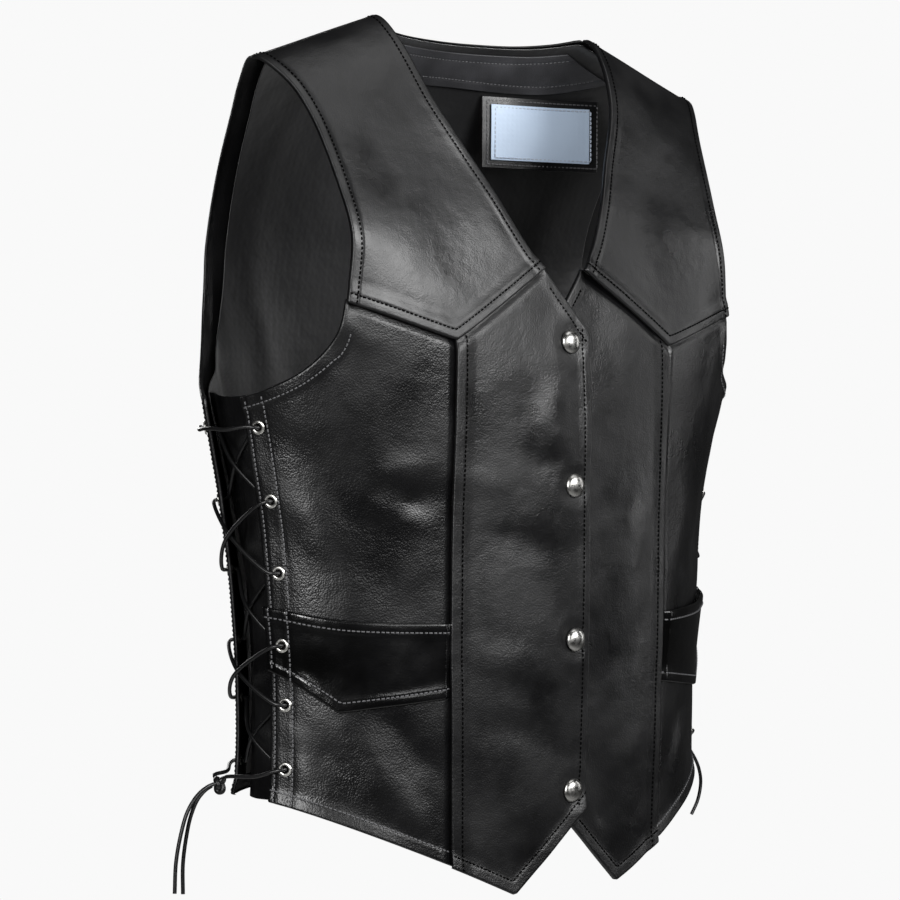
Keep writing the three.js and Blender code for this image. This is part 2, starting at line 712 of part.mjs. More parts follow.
SNAP_Z.forEach((z, i) => {
  add(`snap_cap_${i + 1}`, upright(snapCap, 0, z, SEAM), NICKEL);
  const inside = upright(snapStud.clone().rotateX(Math.PI), 0, z, -OVERLAP_DROP - LEATHER - SEAM);
  add(`snap_stud_${i + 1}`, inside, NICKEL);
});

addPair("lace_front", cord(laceRoute(-1), 64), LACE_LEATHER);
addPair("lace_back", cord(laceRoute(1), 64), LACE_LEATHER);
for (const [hand, ends] of Object.entries(LACE_ENDS)) {
  for (const [name, points] of Object.entries(ends)) {
    const end = cord(points.map((point) => new THREE.Vector3(...point)), 12);
    add(`lace_end_${name}_${hand}`, hand === "left" ? end : mirrored(end), LACE_LEATHER);
  }
}
const knot = new THREE.SphereGeometry(KNOT.radius, 12, 8);
addPair("lace_knot", welded(knot.translate(KNOT.x, KNOT.y, KNOT.z)), LACE_LEATHER);

export default vest;
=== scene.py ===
import math

import bmesh
import bpy
import numpy as np
from mathutils import Matrix, Vector


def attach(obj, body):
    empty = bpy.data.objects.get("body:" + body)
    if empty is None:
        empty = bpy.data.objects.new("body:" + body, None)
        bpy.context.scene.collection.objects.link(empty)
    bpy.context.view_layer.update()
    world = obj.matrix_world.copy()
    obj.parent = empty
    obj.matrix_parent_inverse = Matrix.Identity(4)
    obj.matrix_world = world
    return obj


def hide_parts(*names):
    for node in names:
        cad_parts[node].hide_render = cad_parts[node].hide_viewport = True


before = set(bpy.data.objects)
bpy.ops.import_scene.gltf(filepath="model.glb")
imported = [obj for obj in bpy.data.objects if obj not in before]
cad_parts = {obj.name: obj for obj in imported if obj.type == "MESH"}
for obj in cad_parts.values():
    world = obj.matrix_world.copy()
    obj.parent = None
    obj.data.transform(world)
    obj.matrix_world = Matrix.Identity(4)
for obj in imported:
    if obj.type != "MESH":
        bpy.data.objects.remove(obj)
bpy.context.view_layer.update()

# Black leather western vest, size medium. Sizes are in millimetres until a mesh is made; +Z is up,
# the wearer faces -Y and the wearer's left is +X, as in the frame.
MM = 0.001
dice = np.random.default_rng(24)

# The filled-out body that the panels lie on, as level sections counted down from the shoulder
# seam: how far down, half the width, how far the front and back stand from the seam's plane,
# where the side line lies, how square the section is, and how much shoulder slope is left in it.
SECTIONS = np.array([
    [0, 240, 0.3, 0.3, 0, 7, 1],
    [3, 240, 8, 8, 0, 7, 1],
    [10, 240, 16, 17, 0, 7, 1],
    [25, 239, 27, 32, 1, 7, 1],
    [50, 238, 40, 50, 2, 6.5, 1],
    [75, 237, 51, 64, 3, 6, 0.9],
    [105, 236, 63, 77, 4, 5.5, 0.72],
    [130, 235, 74, 86, 5, 4.5, 0.56],
    [155, 233, 83, 94, 7, 3.4, 0.4],
    [185, 230, 91, 101, 9, 2.8, 0.22],
    [220, 225, 96, 106, 11, 2.4, 0],
    [260, 219, 98, 109, 12, 2.15, 0],
    [320, 209, 99, 107, 12, 1.95, 0],
    [400, 201, 100, 98, 12, 1.87, 0],
    [470, 199, 99, 96, 12, 1.85, 0],
    [540, 201, 96, 100, 12, 1.85, 0],
    [640, 205, 91, 104, 12, 1.85, 0],
], dtype=float)
SHOULDER_SLOPE = 0.38
SHOULDER_ROUND = 40
SHOULDER_MIDDLE = 150
GIRTH_EVENNESS = 0.7

# The cut, as points (x, z) seen from the front or the back, for the wearer's left half
NECK_X = 98
TIP_X = 202
YOKE_POINT = [98, -210]
YOKE_FRONT_END = [18, -159]
YOKE_ARMHOLE_END = [176, -186]
FRONT_NECKLINE = [[85, -37], [62, -83], [34, -137]]
FRONT_ARMHOLE_UPPER = [[187, -44], [178, -80], [172, -140]]
FRONT_ARMHOLE_LOWER = [[181, -210], [196, -231]]
BACK_NECKLINE = [[80, 15], [50, 12.5], [0, 12], [-50, 12.5], [-80, 15]]
BACK_ARMHOLE = [[190, -55], [184, -120], [186, -180], [198, -222]]
UNDERARM_Z = -248
LAP_TOP = [-17, -203]
LAP_BOTTOM = [-11.5, -531]
HEM_POINT = [47, -586]
PANEL_SEAM = [[98, -403], [97, -450]]
PANEL_SEAM_HEM = [94.5, -564]
SIDE_HEM_Z = -518
POCKET_AT_PANEL_SEAM = [98, -403]
POCKET_MIDDLE = [160, -400]
POCKET_AT_SIDE_Z = -391
FLAP_AT_PANEL_SEAM = [97, -449]
FLAP_POINT = [164, -458]
FLAP_AT_SIDE_Z = -430

# Sewing: thickness of hide and lining, how far one piece runs under the next, how far in from the
# edge each kind of stitch line runs, the stitches, and the groove that they pull into the hide
HIDE = 1.3
LINING_CLOTH = 0.6
TUCK = 3.0
EDGE_STITCH = 6.5
HEM_STITCH = 8.2
SEAM_STITCH = 8.0
STITCH_PITCH = 3.2
STITCH_LENGTH = 1.8
STITCH_RISE = 0.4
STITCH_UNEVENNESS = 0.15
THREAD_RADIUS = 0.55
THIN_THREAD_RADIUS = 0.3
GROOVE_DEPTH = 0.3
GROOVE_WIDTH = 0.9
ROLL = 1.5
SEAM_CLEARANCE = 0.15
UNDERLAP = 3.2
UNDERLAP_WIDTH = 48

# Lacing along each side: the lace lies so far out over the hide, or so far in behind it
LACE_GAP = 44
HALF_GAP = LACE_GAP / 2
EYELET_INSET = 10
EYELET_Z = [-268, -317, -365, -413, -453, -496]
EYELET_HOLE = 3.2
EYELET_STITCHES = [4.0, 16.5]
FLAP_RISE = 2.6
FLAP_FOLD_RISE = 2.0
FLAP_END_SINK = 3.6
LACE_RADIUS = 1.35
LACE_OUT = 4.3
LACE_IN = -6.2
LACE_CROSS = 1.6
KNOT = Vector((212, 22, -508))
KNOT_RADIUS = 5
KNOT_SPREAD = [1.05, 1.2, 1.7]
KNOT_THICKENING = 1.5
TOP_BAR_OUT = LACE_OUT + 7
LACE_ENDS = {
    "right": {
        "front": [[217.2, 20, -507], [222, 20, -508], [230, 21, -513], [238, 22, -524], [243, 23, -540],
                  [246, 24, -558], [247, 24, -578]],
        "back": [[216.9, 24.6, -509], [221, 25, -511], [227, 26, -517], [232, 27, -528], [235, 28, -542],
                 [237, 29, -560], [237, 29, -580]],
    },
    "left": {
        "front": [[217.2, 20, -507], [221, 20, -510], [229, 20, -518], [237, 20, -530], [240, 20, -542],
                  [237, 20, -556], [230, 20, -567]],
        "back": [[216.9, 24.6, -509], [220, 26, -514], [222, 28, -525], [222, 29, -538], [220, 30, -550],
                 [217, 31, -561]],
    },
}
GUSSET_REACH = 54
GUSSET_RISE = 5

# Snaps, neck facing, lining, and the label: left, right, top and bottom of its patch
SNAP_Z = [-209, -308, -414, -518]
SNAP_CAP = 8.25
SNAP_PULL = 0.9
SNAP_RIM = 0.35
FACING_DEPTH = 28
FACING_END_X = 138
FACING_GROOVE = 0.4
LABEL_BOX = [42, 138, -23, -76]
PATCH_EDGE = np.array([0, 0.6, 1.4])
LINING_INSET = 15
LINING_DEPTH = 4.5
FACING_UNDER = LINING_DEPTH + 1.6
PATCH_UNDER = LINING_DEPTH + 1.4
LABEL_UNDER = PATCH_UNDER + 2.2

# Floor, in metres: well below a vest that a wearer holds up
FLOOR_Z = -2.4
FLOOR_RADIUS = 5

# Soft creases in the hide: where each starts and ends, as girth and height, its half width, and
# how far it stands out, or lies in where that is below zero. A unit of girth is about 250 mm.
GIRTH_MM = 250
CREASES = np.array([
    [-0.62, -40, -0.42, -190, 22, 1.6],
    [-0.35, -60, -0.30, -185, 18, -1.2],
    [-0.75, -120, -0.60, -178, 14, -1.3],
    [-0.22, -120, -0.12, -165, 12, 0.9],
    [-0.70, -206, -0.62, -234, 13, -2.2],
    [-0.66, -198, -0.55, -214, 9, 1.5],
    [-0.47, -292, -0.60, -300, 9, 1.7],
    [-0.45, -312, -0.56, -322, 8, -1.3],
    [-0.50, -332, -0.64, -318, 9, 1.1],
    [-0.85, -262, -0.60, -345, 14, -1.6],
    [-0.88, -300, -0.68, -372, 12, 1.3],
    [-0.80, -345, -0.55, -385, 16, -1.4],
    [-0.72, -468, -0.50, -540, 11, 1.8],
    [-0.62, -462, -0.47, -500, 8, -1.5],
    [-0.84, -470, -0.66, -520, 11, -1.7],
    [-0.60, -500, -0.46, -552, 9, 1.5],
    [-0.86, -458, -0.80, -505, 8, 1.2],
    [-0.07, -228, -0.05, -300, 15, 1.9],
    [-0.20, -285, -0.08, -296, 9, -0.9],
    [-0.30, -340, -0.05, -354, 11, -1.1],
    [-0.38, -300, -0.25, -307, 9, 0.9],
    [-0.35, -420, -0.10, -438, 12, 1.2],
    [-0.30, -470, -0.08, -482, 11, -1.2],
    [-0.25, -520, -0.10, -560, 11, 1.0],
    [0.09, -240, 0.11, -320, 15, 1.3],
    [0.10, -332, 0.30, -300, 9, -1.1],
    [0.12, -382, 0.34, -345, 11, 1.3],
    [0.10, -452, 0.32, -405, 11, -1.3],
    [0.15, -522, 0.35, -470, 11, 1.1],
    [0.13, -536, 0.16, -542, 5, -1.7],
    [0.30, -60, 0.36, -180, 18, -1.3],
    [0.62, -50, 0.45, -190, 22, 1.5],
    [0.72, -200, 0.66, -250, 8, -2.1],
    [0.80, -215, 0.74, -264, 7, 1.9],
    [0.62, -196, 0.60, -250, 10, 1.2],
    [0.55, -300, 0.52, -380, 13, 1.3],
    [0.76, -300, 0.65, -380, 12, -1.5],
    [0.86, -330, 0.80, -420, 9, 1.2],
    [0.70, -468, 0.55, -520, 11, 1.4],
    [0.62, -466, 0.50, -500, 9, -1.3],
    [1.35, -120, 1.50, -330, 25, 1.7],
    [2.65, -120, 2.50, -330, 25, 1.5],
    [1.60, -380, 2.00, -402, 17, -1.7],
    [2.00, -396, 2.40, -375, 17, -1.6],
    [1.50, -430, 1.90, -452, 15, 1.6],
    [2.10, -456, 2.50, -430, 15, 1.4],
    [1.25, -300, 1.45, -352, 13, -1.5],
    [2.75, -300, 2.55, -350, 13, -1.6],
    [1.70, -60, 1.80, -160, 24, 1.0],
    [2.20, -160, 2.30, -60, 24, -1.0],
    [1.15, -280, 1.25, -420, 10, 1.3],
    [2.85, -290, 2.76, -430, 10, 1.2],
])
LINING_CREASES = np.array([
    [2.60, -70, 2.66, -330, 9, 2.2],
    [2.72, -90, 2.70, -300, 7, -1.6],
    [2.45, -60, 2.48, -360, 12, -1.8],
    [1.40, -70, 1.36, -330, 9, 2.0],
    [1.28, -90, 1.30, -300, 7, -1.5],
    [1.56, -60, 1.52, -360, 12, -1.7],
    [1.85, -90, 2.10, -190, 14, 1.6],
    [2.20, -80, 2.00, -230, 12, -1.4],
])
GUSSET_CREASES = np.array([
    [0.86, -262, 1.04, -285, 6, 2.4],
    [0.90, -300, 1.12, -312, 6, -2.2],
    [0.88, -338, 1.06, -352, 7, 2.6],
    [0.94, -385, 1.14, -372, 6, -2.3],
    [0.88, -425, 1.08, -440, 7, 2.5],
    [0.92, -478, 1.12, -468, 6, 2.2],
    [0.97, -270, 1.00, -505, 9, 2.0],
])


def ease(start, stop, value):
    t = np.clip((value - start) / (stop - start), 0, 1)
    return t * t * (3 - 2 * t)


# The body surface. Girth runs 0 at centre front, 1 at the wearer's left side, 2 at centre back.

def section_slopes():
    rows = np.arange(len(SECTIONS))
    before = SECTIONS[np.maximum(rows - 1, 0)]
    after = SECTIONS[np.minimum(rows + 1, len(SECTIONS) - 1)]
    return (after[:, 1:] - before[:, 1:]) / (after[:, :1] - before[:, :1])


SLOPES = section_slopes()


def section_at(drop):
    drops = SECTIONS[:, 0]
    drop = np.maximum(drop, 0)
    row = np.clip(np.searchsorted(drops, drop, side="right") - 1, 0, len(drops) - 2)
    run = (drops[row + 1] - drops[row])[..., None]
    t = np.clip((drop - drops[row])[..., None] / run, 0, 1)
    rise = t * t * (3 - 2 * t)
    smooth = SECTIONS[row, 1:] * (1 - rise) + SECTIONS[row + 1, 1:] * rise
    leave = SLOPES[row] * run * t * (1 - t) ** 2
    arrive = SLOPES[row + 1] * run * t * t * (1 - t)
    return np.moveaxis(smooth + leave - arrive, -1, 0)


def shoulder_height(x):
    return SHOULDER_SLOPE * (math.hypot(SHOULDER_MIDDLE, SHOULDER_ROUND) - np.hypot(x, SHOULDER_ROUND))


def body_point(girth, z):
    girth, z = np.broadcast_arrays(np.asarray(girth, float), np.asarray(z, float))
    turn = math.pi / 2 * girth
    angle = np.arctan2(GIRTH_EVENNESS * np.sin(turn), np.cos(turn))
    across, ahead = np.sin(angle), np.cos(angle)
    drop = -z
    for _ in range(14):
        half, front, back, side, power, slope = section_at(drop)
        norm = (np.abs(across) ** power + np.abs(ahead) ** power) ** (1 / power)
        drop = slope * shoulder_height(half * across / norm) - z
    depth = np.where(ahead > 0, front + side, back - side)
    return np.stack([half * across / norm, side - depth * ahead / norm, z], -1)


def outward(girth, z):
    around = body_point(girth + 0.004, z) - body_point(girth - 0.004, z)
    up = body_point(girth, z) - body_point(girth, z - 1)
    normal = np.cross(around, up)
    return normal / np.linalg.norm(normal, axis=-1, keepdims=True)


def place(girth, z, out):
    girth, z, out = np.broadcast_arrays(*(np.asarray(value, float) for value in (girth, z, out)))
    return body_point(girth, z) + outward(girth, z) * out[..., None]


def section_through(x, z):
    drop = -z
    for _ in range(14):
        drop = section_at(drop)[5] * shoulder_height(x) - z
    return section_at(drop)


def girth_of(across, ahead):
    return 2 / math.pi * np.arctan2(across / GIRTH_EVENNESS, ahead)


def front_girth(x, z):
    half, _, _, _, power, _ = section_through(x, z)
    across = np.minimum(np.abs(x) / half, 0.9999)
    return np.sign(x) * girth_of(across, (1 - across ** power) ** (1 / power))


def back_girth(x, z):
    half, _, _, _, power, _ = section_through(x, z)
    across = np.minimum(np.abs(x) / half, 0.9999)
    girth = girth_of(across, -((1 - across ** power) ** (1 / power)))
    return np.where(x < 0, 4 - girth, girth)


def side_girth(distance, z):
    """The girth at a distance behind the side line, or before it where that is below zero."""
    _, front, back, side, power, _ = section_at(-z)
    away = np.abs(distance) / np.where(distance < 0, front + side, back - side)
    return girth_of((1 - away ** power) ** (1 / power), -np.sign(distance) * away)


# Lines through a few points

def line_through(points, count=72, spacing_power=0.0):
    """Smooth line at even steps; a spacing power of 0.25 keeps it tight where points crowd."""
    points = np.array(points, float)
    if len(points) == 2:
        return points[0] + np.linspace(0, 1, count)[:, None] * (points[1] - points[0])
    first, last = points[0], points[-1]
    if spacing_power:
        first, last = 2 * points[0] - points[1], 2 * points[-1] - points[-2]
    ends = np.vstack([first, points, last])
    t = np.linspace(0, 1, 24, endpoint=False)[:, None]
    fine = []
    for a, b, c, d in zip(ends, ends[1:], ends[2:], ends[3:]):
        before, span, after = (
            max(float(np.sum((q - p) ** 2)) ** spacing_power, 1e-6) for p, q in ((a, b), (b, c), (c, d))
        )
        leave = ((b - a) / before - (c - a) / (before + span) + (c - b) / span) * span
        arrive = ((c - b) / span - (d - b) / (span + after) + (d - c) / after) * span
        rise = t * t * (3 - 2 * t)
        fine.append(b * (1 - rise) + c * rise + leave * t * (1 - t) ** 2 - arrive * t * t * (1 - t))
    return evenly(np.vstack(fine + [points[-1:]]), count)


def run_along(points):
    steps = np.linalg.norm(np.diff(points, axis=0), axis=1)
    return np.concatenate([[0], np.cumsum(steps)])


def evenly(points, count):
    run = run_along(points)
    places = np.linspace(0, run[-1], count)
    return np.column_stack([np.interp(places, run, points[:, k]) for k in range(points.shape[1])])


def front_leg(*points):
    line = line_through(points)
    return np.column_stack([front_girth(line[:, 0], line[:, 1]), line[:, 1]])


def back_leg(*points):
    line = line_through(points)
    return np.column_stack([back_girth(line[:, 0], line[:, 1]), line[:, 1]])


def side_leg(distance, top, bottom):
    z = np.linspace(top, bottom, 72)
    return np.column_stack([side_girth(distance, z), z])


class Edge:
    """One side of a panel: legs of (girth, z), with the share of its length at each point."""

    def __init__(self, *legs):
        runs = [run_along(body_point(leg[:, 0], leg[:, 1])) for leg in legs]
        whole = sum(run[-1] for run in runs)
        start = 0
        self.corners = []
        shares = []
        for run in runs:
            shares.append((start + run) / whole)
            start += run[-1]
            self.corners.append(start / whole)
        self.share = np.concatenate(shares)
        self.line = np.vstack(legs)

    def at(self, share):
        return np.stack([np.interp(share, self.share, self.line[:, k]) for k in (0, 1)], -1)


# Panels

EDGE_LINES = np.array([0, 0.5, 1.1, 1.9, 3.0, 4.4, 5.6, 6.3, 7.0, 7.8, 8.6, 10.5])
BAND_LINES = np.array([0, 0.5, 1.1, 1.9, 2.7, 3.4, 4.0, 4.6, 5.5, 8, 11, 14, 15.2, 15.9, 16.5, 17.1, 18])


def line_shares(length, near, far, cell):
    """Shares of each length: close lines beside both ends and even cells between them."""
    middle = max(int((length.mean() - near[-1] - far[-1]) / cell), 2)
    start = near[-1] / length
    stop = 1 - far[-1] / length
    between = start[:, None] + (stop - start)[:, None] * np.linspace(0, 1, middle + 1)[1:-1]
    return np.hstack([near / length[:, None], between, 1 - far[::-1] / length[:, None]])


class Panel:
    """A cut piece laid on the body, with its distance from each edge at every crossing."""

    def __init__(self, top, bottom, left, right, cell=3.2, settle=1, near=None):
        self.edges = {"top": top, "bottom": bottom, "left": left, "right": right}
        self.settle = settle
        close = {side: EDGE_LINES for side in self.edges} | (near or {})
        t = np.linspace(0, 1, 25)
        rough = self.spread(*np.meshgrid(t, t))
        spots = body_point(rough[..., 0], rough[..., 1])
        row_length = np.linalg.norm(np.diff(spots, axis=1), axis=-1).sum(1)
        column_length = np.linalg.norm(np.diff(spots, axis=0), axis=-1).sum(0)
        sides = (close["left"], close["right"], cell)
        ends = (close["top"], close["bottom"], cell)
        u = line_shares(row_length.mean(keepdims=True), *sides)[0]
        v = line_shares(column_length.mean(keepdims=True), *ends)[0]
        across = line_shares(np.interp(v, t, row_length), *sides)
        down = line_shares(np.interp(u, t, column_length), *ends).T
        if across.shape != (len(v), len(u)) or down.shape != (len(v), len(u)):
            across, down = np.meshgrid(u, v)
        laid = self.spread(across, down)
        self.u, self.v = across, down
        self.girth, self.z = laid[..., 0], laid[..., 1]
        self.measure()
        self.lift = np.zeros_like(self.girth)
        self.lines = []

    def spread(self, u, v):
        top, bottom, left, right = self.edges.values()
        upper = ((1 - v) ** self.settle)[..., None]
        w = u[..., None]
        across = left.at(v) * (1 - w) + right.at(v) * w
        down = bottom.at(u) * (1 - upper) + top.at(u) * upper
        high = top.at(0) * (1 - w) + top.at(1) * w
        low = bottom.at(0) * (1 - w) + bottom.at(1) * w
        return across + down - high * upper - low * (1 - upper)

    def measure(self):
        spots = body_point(self.girth, self.z)
        self.distance = {}
        for side, grid in (("left", spots), ("top", spots.transpose(1, 0, 2))):
            steps = np.linalg.norm(np.diff(grid, axis=1), axis=-1)
            run = np.hstack([np.zeros((len(grid), 1)), np.cumsum(steps, axis=1)])
            far = {"left": "right", "top": "bottom"}[side]
            near_slant = slant(grid[:, 0], grid[:, 5])
            far_slant = slant(grid[:, -1], grid[:, -6])
            pair = {side: run * near_slant[:, None], far: (run[:, -1:] - run) * far_slant[:, None]}
            for name, value in pair.items():
                self.distance[name] = value if side == "left" else value.T

    def share(self, side):
        return self.v if side in ("left", "right") else self.u

    def form(self, side, *kinds):
        """Shapes an edge; where the side has several legs, there is one kind for each."""
        corners = [-1] + self.edges[side].corners[:-1] + [2]
        for kind, start, stop in zip(kinds, corners, corners[1:]):
            share = self.share(side)
            begun = ease(start - 0.012, start + 0.012, share)
            over = ease(stop - 0.012, stop + 0.012, share)
            self.lift = self.lift + begun * (1 - over) * EDGE_FORMS[kind](self.distance[side])

    def stitch(self, side, away, start=0.0, stop=1.0, grooved=True):
        """Marks a line of stitches beside an edge, and sinks the groove that it pulls into the hide."""
        self.lines.append((side, away, start, stop))
        if grooved:
            off = (self.distance[side] - away) / GROOVE_WIDTH
            self.lift = self.lift - GROOVE_DEPTH * np.exp(-off ** 2)

    def for_hand(self, side):
        """The same cut for the left side (1), or turned over for the right (-1)."""
        other = object.__new__(Panel)
        other.__dict__.update(self.__dict__)
        other.girth = side * self.girth
        return other


def slant(edge, inside):
    """Sine of the angle between an edge and the lines that meet it, from its steps either way."""
    along = np.diff(edge, axis=0)
    inward = inside - edge
    sines = []
    for steps in (np.vstack([along[:1], along]), np.vstack([along, along[-1:]])):
        lengths = np.linalg.norm(steps, axis=1) * np.linalg.norm(inward, axis=1)
        sines.append(np.linalg.norm(np.cross(steps, inward), axis=1) / np.maximum(lengths, 1e-9))
    return np.clip(np.minimum(*sines), 0.35, 1)


def rolled(away):
    """How far the rounded edge of a folded hide falls away."""
    t = np.clip(1 - away / ROLL, 0, 1)
    return -ROLL * (1 - np.sqrt(1 - t * t))


# How high the hide lies at a distance from each kind of edge
EDGE_FORMS = {
    "turned": lambda away: 0.7 * (1 - ease(6.5, 10.5, away)) + rolled(away),
    "over": lambda away: 1.7 * (1 - ease(6.5, 15, away)) + 0.1 * np.maximum(6.5 - away, 0) + rolled(away),
    "under": lambda away: -1.9 * (1 - ease(TUCK, TUCK + 6, away)),
    "seam": lambda away: -0.9 * (1 - ease(0, 4, away)),
    "hem": lambda away: 0.8 * (1 - ease(7.5, 11, away)) + 0.2 * np.maximum(8 - away, 0) + rolled(away),
    "binding": lambda away: 1.1 * (1 - ease(7, 9, away)) + rolled(away),
}


def creased(girth, z, creases):
    wrapped = (girth + 1) % 4 - 1
    height = np.zeros_like(z)
    for from_girth, from_z, to_girth, to_z, width, rise in creases:
        run = np.array([(to_girth - from_girth) * GIRTH_MM, to_z - from_z])
        x = (wrapped - from_girth) * GIRTH_MM
        y = z - from_z
        t = np.clip((x * run[0] + y * run[1]) / (run @ run), 0, 1)
        sway = 0.35 * width * np.sin(7 * t + from_z)
        away = np.hypot(x - t * run[0] + sway, y - t * run[1])
        height = height + rise * np.exp(-((away / width) ** 2)) * (0.4 + 0.6 * np.sin(math.pi * t))
    return height


def undulation(girth, z):
    """Low uneven waves of a worn hide, a fraction of a millimetre high."""
    s = girth * GIRTH_MM
    wave = 0.22 * np.sin(s / 17 + z / 41 + 1.3) * np.sin(z / 23 - s / 60)
    wave = wave + 0.16 * np.sin(s / 9.5 - z / 31 + 0.4) * np.sin(z / 14 + s / 35 + 2)
    return wave + 0.3 * np.sin(s / 46 + z / 70) * np.sin(z / 57 + 0.7)


# Materials

def linear(code):
    """A colour like #1a1b1c, from sRGB to linear."""
    parts = [int(code[i:i + 2], 16) / 255 for i in (1, 3, 5)]
    return tuple(p / 12.92 if p <= 0.04045 else ((p + 0.055) / 1.055) ** 2.4 for p in parts) + (1.0,)


def add_node(tree, kind, settings=None, **links):
    """Adds a node; settings are its sockets or properties, links go into its named inputs."""
    new = tree.nodes.new(kind)
    for name, value in (settings or {}).items():
        if name in new.inputs:
            new.inputs[name].default_value = value
        else:
            setattr(new, name, value)
    for name, source in links.items():
        tree.links.new(source, new.inputs[name.replace("_", " ")])
    return new


def blank_material(name, looks):
    material = bpy.data.materials.new(name)
    material.use_nodes = True
    tree = material.node_tree
    tree.nodes.clear()
    output = add_node(tree, "ShaderNodeOutputMaterial")
    surface = add_node(tree, "ShaderNodeBsdfPrincipled", looks)
    tree.links.new(surface.outputs["BSDF"], output.inputs["Surface"])
    where = add_node(tree, "ShaderNodeTexCoord").outputs["Object"]
    return material, tree, surface, where


def noise(tree, where, size_mm, detail, **more):
    settings = {"Scale": 1000 / size_mm, "Detail": detail} | more
    return add_node(tree, "ShaderNodeTexNoise", settings, Vector=where).outputs


def relief(tree, depth_mm, height, below=None, sunk=False):
    """Bumps of a height pattern, on top of the bumps below them."""
    links = {"Height": height} if below is None else {"Height": height, "Normal": below}
    settings = {"Strength": 1.0, "Distance": depth_mm * MM, "invert": sunk}
    return add_node(tree, "ShaderNodeBump", settings, **links).outputs["Normal"]


def cowhide(name, dark, light, roughness, pebble_mm, pebble_depth, wrinkle_depth):
    """Drum-dyed cowhide with a semi-gloss top coat: pebbled grain with finer wrinkles between.

    A real hide's wrinkles are about 0.3 mm apart. They are drawn 0.95 mm apart so that they show.
    """
    material, tree, surface, where = blank_material(name, {"IOR": 1.5})
    warp = noise(tree, where, 6, 2.0)["Color"]
    bent = add_node(tree, "ShaderNodeMixRGB", {"blend_type": "ADD", "Fac": 0.0016},
                    Color1=where, Color2=warp)
    pebble = add_node(tree, "ShaderNodeTexVoronoi", {"feature": "SMOOTH_F1", "Smoothness": 0.35,
                      "Scale": 1000 / pebble_mm}, Vector=bent.outputs["Color"])
    wrinkle = noise(tree, where, 0.95, 2.0, Roughness=0.6, Distortion=0.2)["Fac"]
    patches = noise(tree, where, 45, 3.0)["Fac"]
    soft = relief(tree, 0.5, noise(tree, where, 16, 2.0)["Fac"])
    fine = relief(tree, wrinkle_depth, wrinkle, soft)
    grain = relief(tree, pebble_depth, pebble.outputs["Distance"], fine, sunk=True)
    tone = add_node(tree, "ShaderNodeValToRGB", Fac=patches)
    for stop, place_at, colour in zip(tone.color_ramp.elements, (0.35, 0.7), (dark, light)):
        stop.position = place_at
        stop.color = linear(colour)
    gloss = add_node(tree, "ShaderNodeMapRange", {"From Min": 0.3, "From Max": 0.7,
                     "To Min": roughness - 0.1, "To Max": roughness + 0.1}, Value=patches)
    tree.links.new(tone.outputs["Color"], surface.inputs["Base Color"])
    tree.links.new(gloss.outputs["Result"], surface.inputs["Roughness"])
    tree.links.new(grain, surface.inputs["Normal"])
    return material


def woven(name, colour, roughness, thread_mm, depth, sheen):
    """Satin: crossing threads that are about 0.1 mm wide, drawn coarser so that they show."""
    material, tree, surface, where = blank_material(name, {
        "Base Color": linear(colour), "Roughness": roughness, "Sheen Weight": sheen, "Sheen Roughness": 0.4})
    warp, weft = (
        add_node(tree, "ShaderNodeTexWave", {"bands_direction": direction, "Scale": 50 / thread_mm,
                 "Distortion": 0.8, "Detail": 1.0}, Vector=where).outputs["Color"]
        for direction in ("X", "Z"))
    cross = add_node(tree, "ShaderNodeMixRGB", {"blend_type": "MULTIPLY", "Fac": 1.0},
                     Color1=warp, Color2=weft)
    rumple = relief(tree, 0.8, noise(tree, where, 22, 3.0)["Fac"])
    tree.links.new(relief(tree, depth, cross.outputs["Color"], rumple), surface.inputs["Normal"])
    return material


def nickel_plate(name, colour, smooth, worn):
    """Nickel-plated brass, pressed and barrel polished, with fine handling marks that dull it."""
    material, tree, surface, where = blank_material(name, {"Base Color": linear(colour), "Metallic": 1.0})
    marks = noise(tree, where, 3, 5.0)["Fac"]
    dull = add_node(tree, "ShaderNodeMapRange", {"From Min": 0.35, "From Max": 0.7,
                    "To Min": smooth, "To Max": worn}, Value=marks)
    tree.links.new(dull.outputs["Result"], surface.inputs["Roughness"])
    tree.links.new(relief(tree, 0.12, marks), surface.inputs["Normal"])
    return material


def waxed(name, colour, roughness, depth, gloss=0.5):
    """Round cord or thread with a wax finish over faint fibres."""
    material, tree, surface, where = blank_material(name, {
        "Base Color": linear(colour), "Roughness": roughness, "Specular IOR Level": gloss})
    tree.links.new(relief(tree, depth, noise(tree, where, 1.2, 3.0)["Fac"]), surface.inputs["Normal"])
    return material


# Side fronts, gussets: tumbled until the grain stands up, so the light breaks into small specks
milled_cowhide = cowhide("milled_cowhide", "#060607", "#0c0c0d", 0.33, 1.25, 0.13, 0.055)
# Centre fronts: a finer part of the hide, with softer and broader reflections
fine_cowhide = cowhide("fine_cowhide", "#080809", "#0f0f10", 0.36, 1.15, 0.10, 0.05)
# Yokes, back, label patch: pressed flat when finished, a shade greyer, with a wide even sheen
smooth_cowhide = cowhide("smooth_cowhide", "#0b0b0c", "#141415", 0.36, 1.1, 0.06, 0.035)
# Pocket flaps: pressed and polished, with narrow glints; the near-black colour is painted shade of a
# downward flap
flap_cowhide_painted_shade = cowhide("flap_cowhide_painted_shade", "#030303", "#060607", 0.19, 1.15, 0.05, 0.025)
# Neck facing: black hide drawn a lighter grey as painted light, so it reads as the lit band in the neck
facing_cowhide_painted_light = cowhide("facing_cowhide_painted_light", "#2c2c2e", "#404043", 0.42, 1.1, 0.06, 0.04)
# Side fronts, flaps, facing, label patch: black bonded nylon drawn mid grey, a painted highlight for its
# glints
thread_painted_highlight = waxed("thread_painted_highlight", "#5a5a5c", 0.4, 0.02)
# Yokes, centre fronts, back: the same black thread in its own colour, dull, seen as dark dashes
sunk_thread = waxed("sunk_thread", "#020202", 0.9, 0.02, 0.05)
# Laces: round leather pulled through wax, a soft bright line along each turn
waxed_lace = waxed("waxed_lace", "#0c0c0d", 0.36, 0.06)
